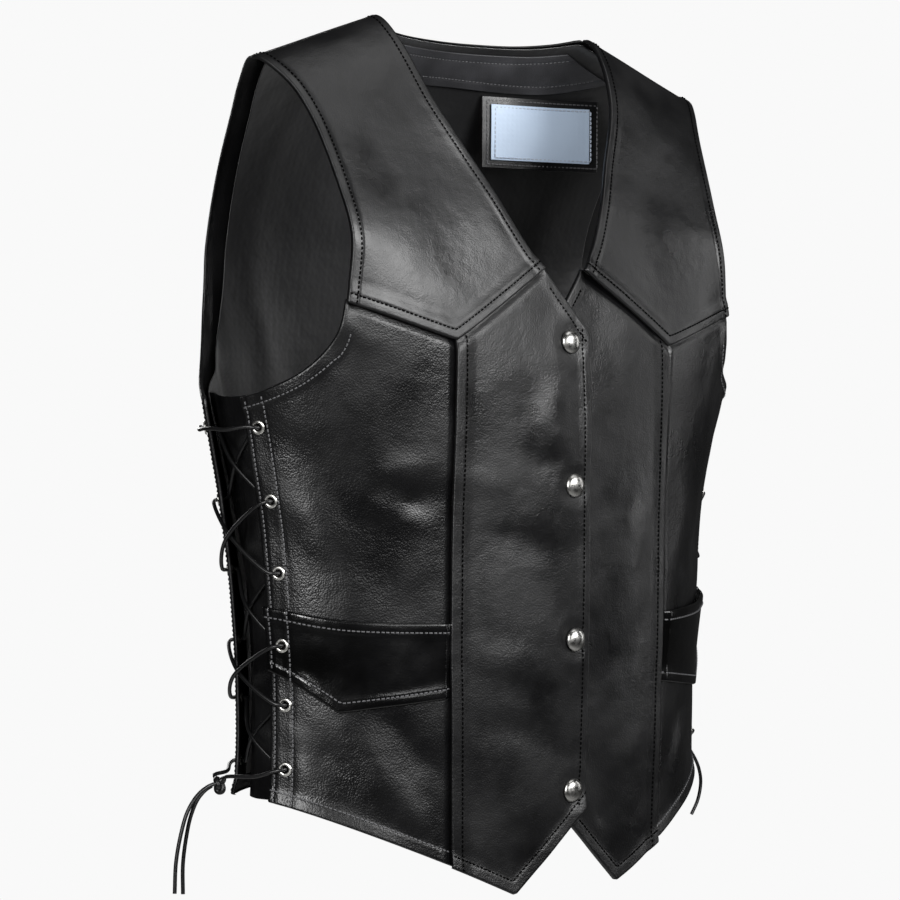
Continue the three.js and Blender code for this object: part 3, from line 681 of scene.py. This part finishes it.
# Lining: piece-dyed satin, black with a faint haze along its folds
satin_lining = woven("satin_lining", "#0c0c0e", 0.42, 0.9, 0.03, 0.6)
# Label: pale blue woven satin, the one light spot in the neck, with thread to match
satin_label = woven("satin_label", "#c2d4ea", 0.45, 0.6, 0.05, 0.2)
label_thread = waxed("label_thread", "#b9c4d4", 0.5, 0.02)
# Eyelets and snap studs: fresh plate that catches a small bright arc of light
bright_nickel = nickel_plate("bright_nickel", "#e2e1dc", 0.24, 0.42)
# Snap caps: rubbed by the thumb, greyer, with a soft spot of light on each dome
worn_nickel = nickel_plate("worn_nickel", "#a9a8a5", 0.2, 0.42)


# Making and handing over a piece

def put(name, data):
    piece = bpy.data.objects.new(name, data)
    bpy.context.collection.objects.link(piece)
    return piece


def cover(data, material):
    data.materials.clear()
    data.materials.append(material)


def hand_over(name, data, material, slot, *nodes):
    piece = put(name, data)
    cover(data, material)
    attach(piece, "root")
    if nodes:
        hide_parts(*nodes)
    return piece


# Camera, as far round and as level as in the photo

CAMERA_AZIMUTH = math.radians(-40)
CAMERA_DISTANCE = 2000
CAMERA_AIM = (0, 15, -269.8)
FOCAL_LENGTH = 111.2

lens = bpy.data.cameras.new("camera")
lens.lens = FOCAL_LENGTH
lens.sensor_width = 36
lens.shift_x = -0.02
lens.shift_y = -0.0222
lens.clip_start = 0.05
lens.clip_end = 100
camera = put("camera", lens)
camera.location = (
    (CAMERA_AIM[0] + CAMERA_DISTANCE * math.sin(CAMERA_AZIMUTH)) * MM,
    (CAMERA_AIM[1] - CAMERA_DISTANCE * math.cos(CAMERA_AZIMUTH)) * MM,
    CAMERA_AIM[2] * MM,
)
camera.rotation_euler = (math.radians(90), 0, CAMERA_AZIMUTH)
bpy.context.scene.camera = camera


# Meshes and round curves

def smooth_mesh(name, bm):
    mesh = bpy.data.meshes.new(name)
    bm.to_mesh(mesh)
    bm.free()
    mesh.shade_smooth()
    return mesh


def finished_mesh(piece):
    bpy.context.view_layer.update()
    return bpy.data.meshes.new_from_object(piece.evaluated_get(bpy.context.evaluated_depsgraph_get()))


def round_curve(name, radius, resolution, capped=True):
    curve = bpy.data.curves.new(name, "CURVE")
    curve.dimensions = "3D"
    curve.bevel_depth = radius * MM
    curve.bevel_resolution = resolution
    curve.use_fill_caps = capped
    return curve


def add_strand(curve, points):
    spline = curve.splines.new("POLY")
    spline.points.add(len(points) - 1)
    spline.points.foreach_set("co", np.column_stack([points * MM, np.ones(len(points))]).ravel())
    spline.use_smooth = True
    return spline


# Laces first: the route of each half from the top bar down to the knot

def at_side(distance, z, out):
    return place(side_girth(np.float64(distance or 0.01), np.float64(z)), z, out)


def flap_rise(z):
    return FLAP_RISE if FLAP_AT_SIDE_Z < z < POCKET_AT_SIDE_Z else 0


def eyelet_turn(edge_side, z, going_in):
    hole = edge_side * (HALF_GAP + EYELET_INSET)
    rise = flap_rise(z) if edge_side < 0 else 0
    flow = 1 if going_in else -1
    passes = [
        (hole - edge_side * 5.5, z + flow * 1.2, LACE_OUT + rise),
        (hole - edge_side * 0.7, z, LACE_OUT - 2 + rise),
        (hole + edge_side * 0.8, z, rise / 2 - 1),
        (hole - edge_side * 0.7, z, LACE_IN + 2),
        (hole - edge_side * 5.5, z - flow * 1.2, LACE_IN),
    ]
    points = [at_side(*step) for step in passes]
    return points if going_in else points[::-1]


def lace_route(start_side):
    over = start_side * LACE_CROSS
    first = EYELET_Z[0]
    middle = start_side * 0.15
    route = [
        at_side(middle, first + 1, TOP_BAR_OUT),
        at_side(middle + start_side * 4, first + 1, TOP_BAR_OUT - 0.2),
        at_side(start_side * 14, first, LACE_OUT + 4.4),
    ]
    edge_side = start_side
    for i, z in enumerate(EYELET_Z):
        going_in = i % 2 == 0
        route += eyelet_turn(edge_side, z, going_in)
        if i < len(EYELET_Z) - 1:
            height = LACE_IN - 0.3 + over if going_in else LACE_OUT + 1 + over
            route.append(at_side(0, (z + EYELET_Z[i + 1]) / 2, height))
        edge_side = -edge_side
    last_side = -edge_side
    reach = (KNOT_RADIUS + 0.3) * math.sqrt(0.5)
    route.append(at_side(last_side * 16, -501, 6))
    route.append(np.array([KNOT.x, KNOT.y + last_side * reach * 1.8, KNOT.z + reach * 1.5]))
    route.append(np.array([KNOT.x, KNOT.y + last_side * reach * 1.08, KNOT.z + reach]))
    return np.array(route)


def lace_piece(name, route, count, side, far_end, lay, *on_it):
    points = line_through(np.array(route) * [side, 1, 1], count, 0.25)
    curve = round_curve(name, LACE_RADIUS, 3)
    add_strand(curve, points)
    piece = hand_over(f"{name}_cord", curve, waxed_lace, "lace", name)


def tied_knot(name, side):
    """A small hard knot: the lace turned three times through itself."""
    t = np.linspace(0, 2 * math.pi, 60, endpoint=False)
    loops = np.column_stack([
        np.sin(t) + 2 * np.sin(2 * t), -1.5 * np.sin(3 * t), np.cos(t) - 2 * np.cos(2 * t)])
    spots = (loops * KNOT_SPREAD + np.array(KNOT)) * [side, 1, 1]
    curve = round_curve(name, KNOT_THICKENING * LACE_RADIUS, 3, capped=False)
    add_strand(curve, spots).use_cyclic_u = True
    return hand_over(f"{name}_tied", curve, waxed_lace, "lace", name)


for side, hand in ((1, "left"), (-1, "right")):
    knot = tied_knot(f"lace_knot_{hand}", side)
    lace_piece(f"lace_front_{hand}", lace_route(-1), 260, side, "knot", "taut", knot)
    lace_piece(f"lace_back_{hand}", lace_route(1), 260, side, "knot", "taut")
    for end, route in LACE_ENDS[hand].items():
        lace_piece(f"lace_end_{end}_{hand}", route, 40, side, "bare", "hanging")


# Shells of hide or cloth

def shell_mesh(name, outer, inner):
    """A wall between two grids of points: two bmesh grids joined round their borders."""
    rows, columns = outer.shape[:2]
    bm = bmesh.new()
    bmesh.ops.create_grid(bm, x_segments=columns - 1, y_segments=rows - 1, size=1)
    front_faces = bm.faces[:]
    under = bmesh.ops.create_grid(bm, x_segments=columns - 1, y_segments=rows - 1, size=1)
    bmesh.ops.translate(bm, verts=under["verts"], vec=(0, 0, -0.05))
    known = set(front_faces)
    bmesh.ops.reverse_faces(bm, faces=[face for face in bm.faces if face not in known])
    bmesh.ops.bridge_loops(bm, edges=[edge for edge in bm.edges if edge.is_boundary])
    mesh = smooth_mesh(name, bm)
    points = np.concatenate([outer.reshape(-1, 3), inner.reshape(-1, 3)])
    mesh.vertices.foreach_set("co", points.ravel() * MM)
    middle = outer[rows // 2, columns // 2]
    around = outer[rows // 2, columns // 2 + 1] - middle
    below = outer[rows // 2 + 1, columns // 2] - middle
    if np.cross(around, below) @ (middle - inner[rows // 2, columns // 2]) < 0:
        mesh.flip_normals()
    mesh.update()
    return mesh


def lay_cloth(name, outer, inner, material, slot, held, rests_on=()):
    """Makes a wall of hide or cloth between two faces."""
    piece = hand_over(f"{name}_sewn", shell_mesh(name, outer, inner), material, slot, name)
    return piece


def finish_panel(name, panel, thickness, material, slot, held, limit=None, rests_on=(), creases=CREASES,
                 creasing=1.0):
    """Gives a laid-out panel its creases and thickness."""
    soft = creased(panel.girth, panel.z, creases) + undulation(panel.girth, panel.z)
    panel.lift = panel.lift + creasing * soft
    outer = place(panel.girth, panel.z, panel.lift)
    inner = place(panel.girth, panel.z, panel.lift - thickness)
    if limit:
        outer, inner = limit(outer), limit(inner)
    return lay_cloth(name, outer, inner, material, slot, held, rests_on)


def before_seam(points):
    """Keeps a front piece on its own side of the shoulder seam."""
    points[..., 1] = np.minimum(points[..., 1], -SEAM_CLEARANCE)
    return points


def behind_seam(points):
    """Keeps a back piece on its own side of the shoulder seam."""
    points[..., 1] = np.maximum(points[..., 1], SEAM_CLEARANCE)
    return points


# Stitches

def stitch_line(panel, side, away, start=0.0, stop=1.0, under=0.0):
    """The stitches of one line beside an edge, three points each, on a face so far under the outer one."""
    distance = panel.distance[side]
    layers = [panel.girth, panel.z, panel.lift, panel.share(side)]
    if side in ("top", "bottom"):
        distance, layers = distance.T, [layer.T for layer in layers]
    if side in ("right", "bottom"):
        distance, layers = distance[:, ::-1], [layer[:, ::-1] for layer in layers]
    rows = [[np.interp(away, distance[r], layer[r]) for layer in layers] for r in range(len(distance))]
    path = np.array(rows)
    path = path[(path[:, 3] >= start) & (path[:, 3] <= stop)]
    run = run_along(body_point(path[:, 0], path[:, 1]))
    count = int(run[-1] / STITCH_PITCH)
    uneven, more_uneven = dice.uniform(-STITCH_UNEVENNESS, STITCH_UNEVENNESS, (2, count))
    begins = np.arange(count) * STITCH_PITCH + 0.4 + uneven
    ends = begins + STITCH_LENGTH + more_uneven
    spots = np.stack([begins, (begins + ends) / 2, ends], 1)
    girth, z, height = (np.interp(spots, run, path[:, k]) for k in range(3))
    return place(girth, z, height - under + np.array([0, STITCH_RISE, 0]))


def sew(name, lines, thread=thread_painted_highlight, limit=None, radius=THREAD_RADIUS):
    """Makes one mesh of all the stitches on a piece."""
    curve = round_curve(name, radius, 1)
    for stitches in lines:
        for stitch in limit(stitches) if limit else stitches:
            add_strand(curve, stitch)
    passing = put(name, curve)
    mesh = finished_mesh(passing)
    bpy.data.objects.remove(passing)
    mesh.name = name
    return hand_over(f"stitches_{name}", mesh, thread, "lining")


# Cut pieces of the left front; the right ones are their mirror image

def moved(point, across, up):
    return [point[0] + across, point[1] + up]


def shoulder_point(x):
    return [x, shoulder_height(x) - 0.1]


def side_point(distance, z):
    spot = body_point(side_girth(np.float64(distance), np.float64(z)), z)
    return [spot[0], spot[2]]


def front_yoke():
    neck, tip = shoulder_point(NECK_X), shoulder_point(TIP_X)
    panel = Panel(
        Edge(front_leg(neck, tip)),
        Edge(front_leg(YOKE_FRONT_END, YOKE_POINT), front_leg(YOKE_POINT, YOKE_ARMHOLE_END)),
        Edge(front_leg(neck, *FRONT_NECKLINE, YOKE_FRONT_END)),
        Edge(front_leg(tip, *FRONT_ARMHOLE_UPPER, YOKE_ARMHOLE_END)),
    )
    panel.form("top", "seam")
    panel.form("bottom", "over", "over")
    panel.form("left", "turned")
    panel.form("right", "binding")
    for side in ("bottom", "left", "right"):
        panel.stitch(side, EDGE_STITCH)
    return panel


def snap_dents(panel):
    """The hide is drawn in round each snap."""
    x = body_point(panel.girth, panel.z)[..., 0]
    for z in SNAP_Z:
        away = np.hypot(x, panel.z - z)
        panel.lift = panel.lift - SNAP_PULL * np.exp(-((away / 10) ** 2))
        panel.lift = panel.lift + SNAP_RIM * np.exp(-(((away - 16) / 4) ** 2))


def centre_front(under_lap):
    neck_end = moved(YOKE_FRONT_END, TUCK * 0.73, TUCK)
    yoke_point = moved(YOKE_POINT, 0, TUCK)
    panel = Panel(
        Edge(front_leg(LAP_TOP, neck_end), front_leg(neck_end, yoke_point)),
        Edge(front_leg(LAP_BOTTOM, HEM_POINT), front_leg(HEM_POINT, PANEL_SEAM_HEM)),
        Edge(front_leg(LAP_TOP, LAP_BOTTOM)),
        Edge(front_leg(yoke_point, *PANEL_SEAM, PANEL_SEAM_HEM)),
    )
    panel.form("top", "turned", "under")
    panel.form("bottom", "hem", "hem")
    panel.form("left", "turned")
    panel.form("right", "over")
    snap_dents(panel)
    panel.stitch("bottom", HEM_STITCH)
    panel.stitch("left", EDGE_STITCH, 0.012, 0.985)
    panel.stitch("right", SEAM_STITCH, 0.01)
    panel.stitch("top", EDGE_STITCH, 0.03, panel.edges["top"].corners[0] - 0.01, grooved=False)
    if under_lap:
        x = body_point(panel.girth, panel.z)[..., 0]
        panel.lift = panel.lift - UNDERLAP * (1 - ease(-LAP_TOP[0], UNDERLAP_WIDTH - LAP_TOP[0], x))
    return panel


def pocket_line(shift, inner_shift=0.0):
    at_side_edge = side_point(-HALF_GAP, POCKET_AT_SIDE_Z)
    return [moved(POCKET_AT_PANEL_SEAM, inner_shift, shift), moved(POCKET_MIDDLE, 0, shift),
            moved(at_side_edge, 0, shift)]


def side_front_upper():
    yoke_point = moved(YOKE_POINT, -TUCK, TUCK)
    yoke_end = moved(YOKE_ARMHOLE_END, 0, TUCK)
    underarm = side_point(-HALF_GAP, UNDERARM_Z)
    pocket = pocket_line(-1, -TUCK)
    panel = Panel(
        Edge(front_leg(yoke_point, yoke_end), front_leg(yoke_end, *FRONT_ARMHOLE_LOWER, underarm)),
        Edge(front_leg(*pocket)),
        Edge(front_leg(yoke_point, pocket[0])),
        Edge(side_leg(-HALF_GAP, UNDERARM_Z, pocket[-1][1])),
        near={"right": BAND_LINES},
    )
    panel.form("top", "under", "binding")
    panel.form("left", "under")
    panel.form("right", "turned")
    for away in EYELET_STITCHES:
        panel.stitch("right", away, 0.02)
    panel.stitch("top", EDGE_STITCH + 1, panel.edges["top"].corners[0] + 0.02, grooved=False)
    return panel


def side_front_lower():
    seam = [moved(point, -TUCK, 0) for point in (PANEL_SEAM[1], PANEL_SEAM_HEM)]
    pocket = pocket_line(1, -TUCK)
    side_hem = side_point(-HALF_GAP, SIDE_HEM_Z)
    panel = Panel(
        Edge(front_leg(*pocket)),
        Edge(front_leg(seam[1], side_hem)),
        Edge(front_leg(pocket[0], *seam)),
        Edge(side_leg(-HALF_GAP, pocket[-1][1], SIDE_HEM_Z)),
        near={"right": BAND_LINES},
    )
    panel.form("bottom", "hem")
    panel.form("left", "under")
    panel.form("right", "turned")
    panel.stitch("bottom", HEM_STITCH, 0.03)
    for away in EYELET_STITCHES:
        panel.stitch("right", away)
    return panel


def pocket_flap():
    pocket = pocket_line(4, -TUCK)
    inner = moved(FLAP_AT_PANEL_SEAM, -TUCK, 0)
    outer = side_point(-HALF_GAP, FLAP_AT_SIDE_Z)
    panel = Panel(
        Edge(front_leg(*pocket)),
        Edge(front_leg(inner, FLAP_POINT), front_leg(FLAP_POINT, outer)),
        Edge(front_leg(pocket[0], inner)),
        Edge(side_leg(-HALF_GAP, pocket[-1][1], FLAP_AT_SIDE_Z)),
        near={"right": BAND_LINES},
    )
    panel.lift = panel.lift + FLAP_RISE + FLAP_FOLD_RISE * (1 - ease(0, 50, panel.distance["top"]))
    panel.lift = panel.lift - FLAP_END_SINK * (1 - ease(TUCK, TUCK + 6, panel.distance["left"]))
    panel.form("top", "turned")
    panel.form("bottom", "turned", "turned")
    panel.form("right", "turned")
    for side in ("top", "bottom"):
        panel.stitch(side, EDGE_STITCH, 0.03)
    for away in EYELET_STITCHES:
        panel.stitch("right", away)
    return panel


# The back and what is sewn inside it

def other_hand(leg):
    return np.column_stack([4 - leg[:, 0], leg[:, 1]])


def back_outline(inset, hem_z):
    tip, neck = shoulder_point(TIP_X - inset), shoulder_point(NECK_X)
    far_neck, far_tip = [-neck[0], neck[1]], [-tip[0], tip[1]]
    cut = [moved(point, -inset, 0) for point in BACK_ARMHOLE]
    underarm = side_point(HALF_GAP + inset, UNDERARM_Z)
    arm = back_leg(tip, *cut, underarm)
    side = side_leg(HALF_GAP + inset, UNDERARM_Z, hem_z)
    hem = np.column_stack([np.linspace(side[-1, 0], 4 - side[-1, 0], 144), np.full(144, float(hem_z))])
    return (
        Edge(back_leg(tip, neck), back_leg(neck, *BACK_NECKLINE, far_neck), back_leg(far_neck, far_tip)),
        Edge(hem),
        Edge(arm, side),
        Edge(other_hand(arm), other_hand(side)),
    )


def back_panel():
    panel = Panel(*back_outline(0, SIDE_HEM_Z), cell=4.0, settle=3,
                  near={"left": BAND_LINES, "right": BAND_LINES})
    panel.form("top", "seam", "turned", "seam")
    panel.form("bottom", "hem")
    for side in ("left", "right"):
        panel.form(side, "turned", "turned")
    panel.stitch("bottom", HEM_STITCH)
    shoulder, far_shoulder, _ = panel.edges["top"].corners
    panel.stitch("top", EDGE_STITCH, shoulder + 0.01, far_shoulder - 0.01, grooved=False)
    arm = panel.edges["left"].corners[0]
    for side in ("left", "right"):
        panel.stitch(side, EDGE_STITCH, 0, arm, grooved=False)
        for away in EYELET_STITCHES:
            panel.stitch(side, away, arm, grooved=False)
    return panel


def lining_panel():
    panel = Panel(*back_outline(LINING_INSET, SIDE_HEM_Z + 12), cell=5.0, settle=3)
    near_hem = 1 - ease(4, 30, panel.distance["bottom"])
    panel.lift = panel.lift - LINING_DEPTH + near_hem * 1.6
    return panel


def facing_panel():
    top = back_leg([94, 12.5], [60, 9], [0, 8], [-60, 9], [-94, 12.5])
    end = shoulder_point(FACING_END_X)
    low = moved(end, 0, -10)
    middle = [0, BACK_NECKLINE[2][1] - FACING_DEPTH]
    beside = [88, middle[1]]
    bottom = back_leg(low, beside, middle, [-beside[0], beside[1]], [-low[0], low[1]])
    share = np.linspace(0, 1, 24)[:, None]
    left = top[0] * (1 - share) + bottom[0] * share
    right = top[-1] * (1 - share) + bottom[-1] * share
    panel = Panel(Edge(top), Edge(bottom), Edge(left), Edge(right))
    panel.lift = panel.lift - FACING_UNDER
    for side in ("top", "bottom"):
        off = (panel.distance[side] - EDGE_STITCH) / GROOVE_WIDTH
        panel.lift = panel.lift + FACING_GROOVE * np.exp(-off ** 2)
        panel.stitch(side, EDGE_STITCH, 0.02, 0.98, grooved=False)
    return panel


class HungPatch:
    """A patch sewn along its top edge, which hangs straight down, curved across like the back."""

    def __init__(self, inset_x, inset_z, under, thickness):
        left, right, self.top, bottom = LABEL_BOX
        self.x = [left + inset_x, right - inset_x]
        self.z = [self.top - inset_z, bottom + inset_z]
        self.faces = [self.face(under), self.face(under + thickness)]

    def face(self, under):
        x, z = (
            np.concatenate([PATCH_EDGE, np.linspace(3, length - 3, count), length - PATCH_EDGE[::-1]])
            for length, count in ((np.ptp(self.x), 30), (np.ptp(self.z), 16)))
        across, down = np.meshgrid(self.x[0] + x, self.z[0] - z)
        top = np.full_like(across, self.top)
        girth = back_girth(across, top)
        spots = body_point(girth, top)
        normal = outward(girth, top)
        level = normal[..., 0] ** 2 + normal[..., 1] ** 2
        sag = 0.5 * np.sin(across / 13) * np.sin(down / 17)
        spots[..., :2] -= normal[..., :2] * ((under + sag) / level)[..., None]
        spots[..., 2] = down
        return spots

    def stitches(self, away, height):
        """Stitches round the inner face, a little in from its edge."""
        left, right = self.x[0] + away, self.x[1] - away
        top, bottom = self.z[0] - away, self.z[1] + away
        corners = [(left, top), (right, top), (right, bottom), (left, bottom), (left, top)]
        middle = self.faces[1][len(self.faces[1]) // 2]
        sides = []
        for (x0, z0), (x1, z1) in zip(corners, corners[1:]):
            count = int(math.hypot(x1 - x0, z1 - z0) / STITCH_PITCH)
            share = (np.arange(count)[:, None] + [0.1, 0.45, 0.8]) / count
            x, z = x0 + (x1 - x0) * share, z0 + (z1 - z0) * share
            y = np.interp(x, middle[:, 0], middle[:, 1])
            sides.append(np.stack([x, y - np.array([-0.2, height, -0.2]), z], -1))
        return np.concatenate(sides)


def gusset_panel():
    ends = np.linspace(-GUSSET_REACH, GUSSET_REACH, 41)
    ends = np.where(np.abs(ends) < 0.01, 0.01, ends)
    top_z = UNDERARM_Z + GUSSET_RISE - (GUSSET_RISE + 1) * np.sin(np.pi * np.linspace(0, 1, 41))
    hem_z = np.full(41, float(SIDE_HEM_Z))
    panel = Panel(
        Edge(np.column_stack([side_girth(ends, top_z), top_z])),
        Edge(np.column_stack([side_girth(ends, hem_z), hem_z])),
        Edge(side_leg(-GUSSET_REACH, UNDERARM_Z + GUSSET_RISE, SIDE_HEM_Z)),
        Edge(side_leg(GUSSET_REACH, UNDERARM_Z + GUSSET_RISE, SIDE_HEM_Z)),
        cell=2.6,
    )
    depths = np.interp(panel.u, [0, 0.1, 0.2, 0.5, 0.8, 0.9, 1], [3.7, 4.2, 9.2, 11.5, 9.2, 4.2, 3.7])
    inside = ease(0.12, 0.3, panel.u) * (1 - ease(0.7, 0.88, panel.u))
    folds = creased(panel.girth, panel.z, GUSSET_CREASES) * inside
    panel.lift = panel.lift - depths + folds
    return panel


# Eyelet holes through the hide

def eyelet_places(edge_side):
    for number, z in enumerate(EYELET_Z, 1):
        rise = flap_rise(z) if edge_side < 0 else 0
        yield number, side_girth(np.float64(edge_side * (HALF_GAP + EYELET_INSET)), np.float64(z)), z, rise


def standing_out(girth, z, out):
    """The placing that turns local +Z to the body's outward direction, in metres."""
    spot = place(girth, z, out) * MM
    turn = Vector(outward(np.float64(girth), np.float64(z))).to_track_quat("Z", "Y").to_matrix().to_4x4()
    return Matrix.Translation(Vector(spot)) @ turn


def pierce(piece, placings):
    """Cuts round holes through a piece."""
    bm = bmesh.new()
    for placing in placings:
        bmesh.ops.create_cone(bm, cap_ends=True, segments=20, radius1=EYELET_HOLE * MM,
                              radius2=EYELET_HOLE * MM, depth=16 * MM, matrix=placing)
    punch = put("punch", smooth_mesh("punch", bm))
    cut = piece.modifiers.new("holes", "BOOLEAN")
    cut.operation = "DIFFERENCE"
    cut.solver = "EXACT"
    cut.object = punch
    mesh = finished_mesh(piece)
    piece.modifiers.clear()
    mesh.name = piece.data.name
    piece.data = mesh
    bpy.data.objects.remove(punch)


def holes(edge_side, side, low=SIDE_HEM_Z, high=0):
    return [standing_out(side * girth, z, 0) for _, girth, z, _ in eyelet_places(edge_side)
            if low < z < high]


# Putting the cut pieces together

front_pieces = [
    (front_yoke, smooth_cowhide, sunk_thread, before_seam, None),
    (side_front_upper, milled_cowhide, thread_painted_highlight, None, (POCKET_AT_SIDE_Z, 0)),
    (side_front_lower, milled_cowhide, thread_painted_highlight, None, (SIDE_HEM_Z, POCKET_AT_SIDE_Z)),
    (pocket_flap, flap_cowhide_painted_shade, thread_painted_highlight, None, (FLAP_AT_SIDE_Z, POCKET_AT_SIDE_Z)),
]
for cut_out, hide, thread, limit, hole_range in front_pieces:
    laid = cut_out()
    for side, hand in ((1, "left"), (-1, "right")):
        panel = laid.for_hand(side)
        name = f"{cut_out.__name__}_{hand}"
        piece = finish_panel(name, panel, HIDE, hide, "leather", "hung", limit)
        if hole_range:
            pierce(piece, holes(-1, side, *hole_range))
        sew(name, [stitch_line(panel, *line) for line in panel.lines], thread, limit)

for side, hand in ((-1, "right"), (1, "left")):
    panel = centre_front(under_lap=side == 1).for_hand(side)
    finish_panel(f"centre_front_{hand}", panel, HIDE, fine_cowhide, "leather", "hung")
    sew(f"centre_front_{hand}", [stitch_line(panel, *line) for line in panel.lines], sunk_thread)

panel = back_panel()
back = finish_panel("back", panel, HIDE, smooth_cowhide, "leather", "hung", behind_seam)
pierce(back, holes(1, 1) + holes(1, -1))
sew("back", [stitch_line(panel, *line) for line in panel.lines], sunk_thread, behind_seam,
    THIN_THREAD_RADIUS)

finish_panel("back_lining", lining_panel(), LINING_CLOTH, satin_lining, "lining", "hung",
             behind_seam, ["back"], LINING_CREASES)
facing = facing_panel()
finish_panel("neck_facing", facing, HIDE, facing_cowhide_painted_light, "leather", "laid", behind_seam,
             ["back_lining"], creasing=0.5)
sew("neck_facing", [stitch_line(facing, *line, HIDE) for line in facing.lines], limit=behind_seam)

patch = HungPatch(0, 0, PATCH_UNDER, HIDE)
label = HungPatch(7, 6, LABEL_UNDER, LINING_CLOTH)
lay_cloth("label_patch", *patch.faces, smooth_cowhide, "leather", "hung", ["back_lining"])
lay_cloth("label", *label.faces, satin_label, "label", "laid", ["label_patch"])
sew("label_patch", [patch.stitches(2.8, 0.4)])
sew("label", [label.stitches(1.8, 0.3)], thread=label_thread)

# The right gusset keeps the waves of the left one and has its own on top
gusset = gusset_panel()
for side, hand in ((1, "left"), (-1, "right")):
    gusset = gusset.for_hand(side)
    finish_panel(f"side_gusset_{hand}", gusset, HIDE, milled_cowhide, "leather", "gathered",
                 rests_on=["back"], creases=CREASES[:1], creasing=0.3)


# Metal fittings, turned on a lathe

def turned_mesh(name, profile, closed, placing):
    """Spins a profile of (radius, height) points round local Z."""
    bm = bmesh.new()
    verts = [bm.verts.new((r * MM, 0, h * MM)) for r, h in profile]
    loop = verts + verts[:1] if closed else verts
    edges = [bm.edges.new(pair) for pair in zip(loop, loop[1:])]
    bmesh.ops.spin(bm, geom=verts + edges, cent=(0, 0, 0), axis=(0, 0, 1), angle=2 * math.pi,
                   steps=36, use_merge=True)
    bmesh.ops.remove_doubles(bm, verts=bm.verts[:], dist=1e-6)
    bmesh.ops.recalc_face_normals(bm, faces=bm.faces[:])
    bmesh.ops.transform(bm, matrix=placing, verts=bm.verts[:])
    return smooth_mesh(name, bm)


EYELET_PROFILE = [(2.3, -2.6), (3.0, -2.6), (3.1, 0.1), (4.7, 0.1), (4.9, 0.45), (4.65, 0.95),
                  (4.1, 1.25), (3.4, 1.3), (2.8, 1.05), (2.4, 0.55), (2.3, 0)]
CAP_PROFILE = [(0, 4.3), (1.6, 4.25), (3.2, 4.0), (4.8, 3.55), (6.1, 2.95), (7.1, 2.25), (7.8, 1.5),
               (SNAP_CAP, 0.8), (8.15, 0.3), (7.6, 0), (0, 0)]

for edge_name, edge_side in (("front", -1), ("back", 1)):
    for number, girth, z, rise in eyelet_places(edge_side):
        for side, hand in ((1, "left"), (-1, "right")):
            node = f"eyelet_{edge_name}_{number}_{hand}"
            ring = turned_mesh(node, EYELET_PROFILE, True, standing_out(side * girth, z, rise + 0.45))
            hand_over(f"{node}_ring", ring, bright_nickel, "nickel", node)

for number, z in enumerate(SNAP_Z, 1):
    node = f"snap_cap_{number}"
    crease = creased(np.zeros(1), np.array([float(z)]), CREASES)[0]
    dome = turned_mesh(node, CAP_PROFILE, False, standing_out(0, z, crease - 0.1))
    hand_over(f"{node}_dome", dome, worn_nickel, "nickel", node)
    cover(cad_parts[f"snap_stud_{number}"].data, bright_nickel)


# Studio: a pale floor and soft lights, placed in metres

def pale_floor():
    bm = bmesh.new()
    bmesh.ops.create_circle(bm, cap_ends=True, segments=96, radius=FLOOR_RADIUS)
    bmesh.ops.translate(bm, verts=bm.verts[:], vec=(0, 0, FLOOR_Z))
    floor = put("floor", smooth_mesh("floor", bm))
    cover(floor.data, blank_material("pale_floor", {"Base Color": linear("#f4f4f3"), "Roughness": 0.9})[0])


def soft_light(name, place_at, aim, width, height, power):
    light = bpy.data.lights.new(name, "AREA")
    light.shape = "RECTANGLE"
    light.size, light.size_y = width, height
    light.energy = power
    lamp = put(name, light)
    lamp.location = place_at
    lamp.rotation_euler = (Vector(aim) - Vector(place_at)).to_track_quat("-Z", "Y").to_euler()


pale_floor()
soft_light("key", (0.45, -2.1, 0.55), (0, 0, -0.1), 1.3, 1.0, 46)
soft_light("front_low", (-0.7, -2.2, 0.1), (0, 0, -0.1), 0.7, 0.7, 7)
soft_light("top", (0.3, -0.9, 1.6), (0, 0, -0.2), 1.2, 0.8, 6)
soft_light("left_strip", (-1.7, -1.0, 0.1), (0, 0.05, -0.2), 0.35, 1.2, 26)
soft_light("behind", (0.5, 2.3, 0.5), (0, 0, -0.25), 1.3, 1.0, 22)
soft_light("right_strip", (1.9, -0.9, 0.1), (0.1, 0, -0.25), 0.35, 1.4, 5)

world = bpy.data.worlds.new("studio")
bpy.context.scene.world = world
world.use_nodes = True
sky = world.node_tree
sky.nodes.clear()
seen = add_node(sky, "ShaderNodeBackground", {"Color": linear("#f9f9f9"), "Strength": 1.0})
lit = add_node(sky, "ShaderNodeBackground", {"Color": linear("#ffffff"), "Strength": 0.03})
path = add_node(sky, "ShaderNodeLightPath")
choice = add_node(sky, "ShaderNodeMixShader", Fac=path.outputs["Is Camera Ray"])
sky.links.new(lit.outputs["Background"], choice.inputs[1])
sky.links.new(seen.outputs["Background"], choice.inputs[2])
add_node(sky, "ShaderNodeOutputWorld", Surface=choice.outputs["Shader"])
bpy.context.scene.view_settings.view_transform = "Standard"
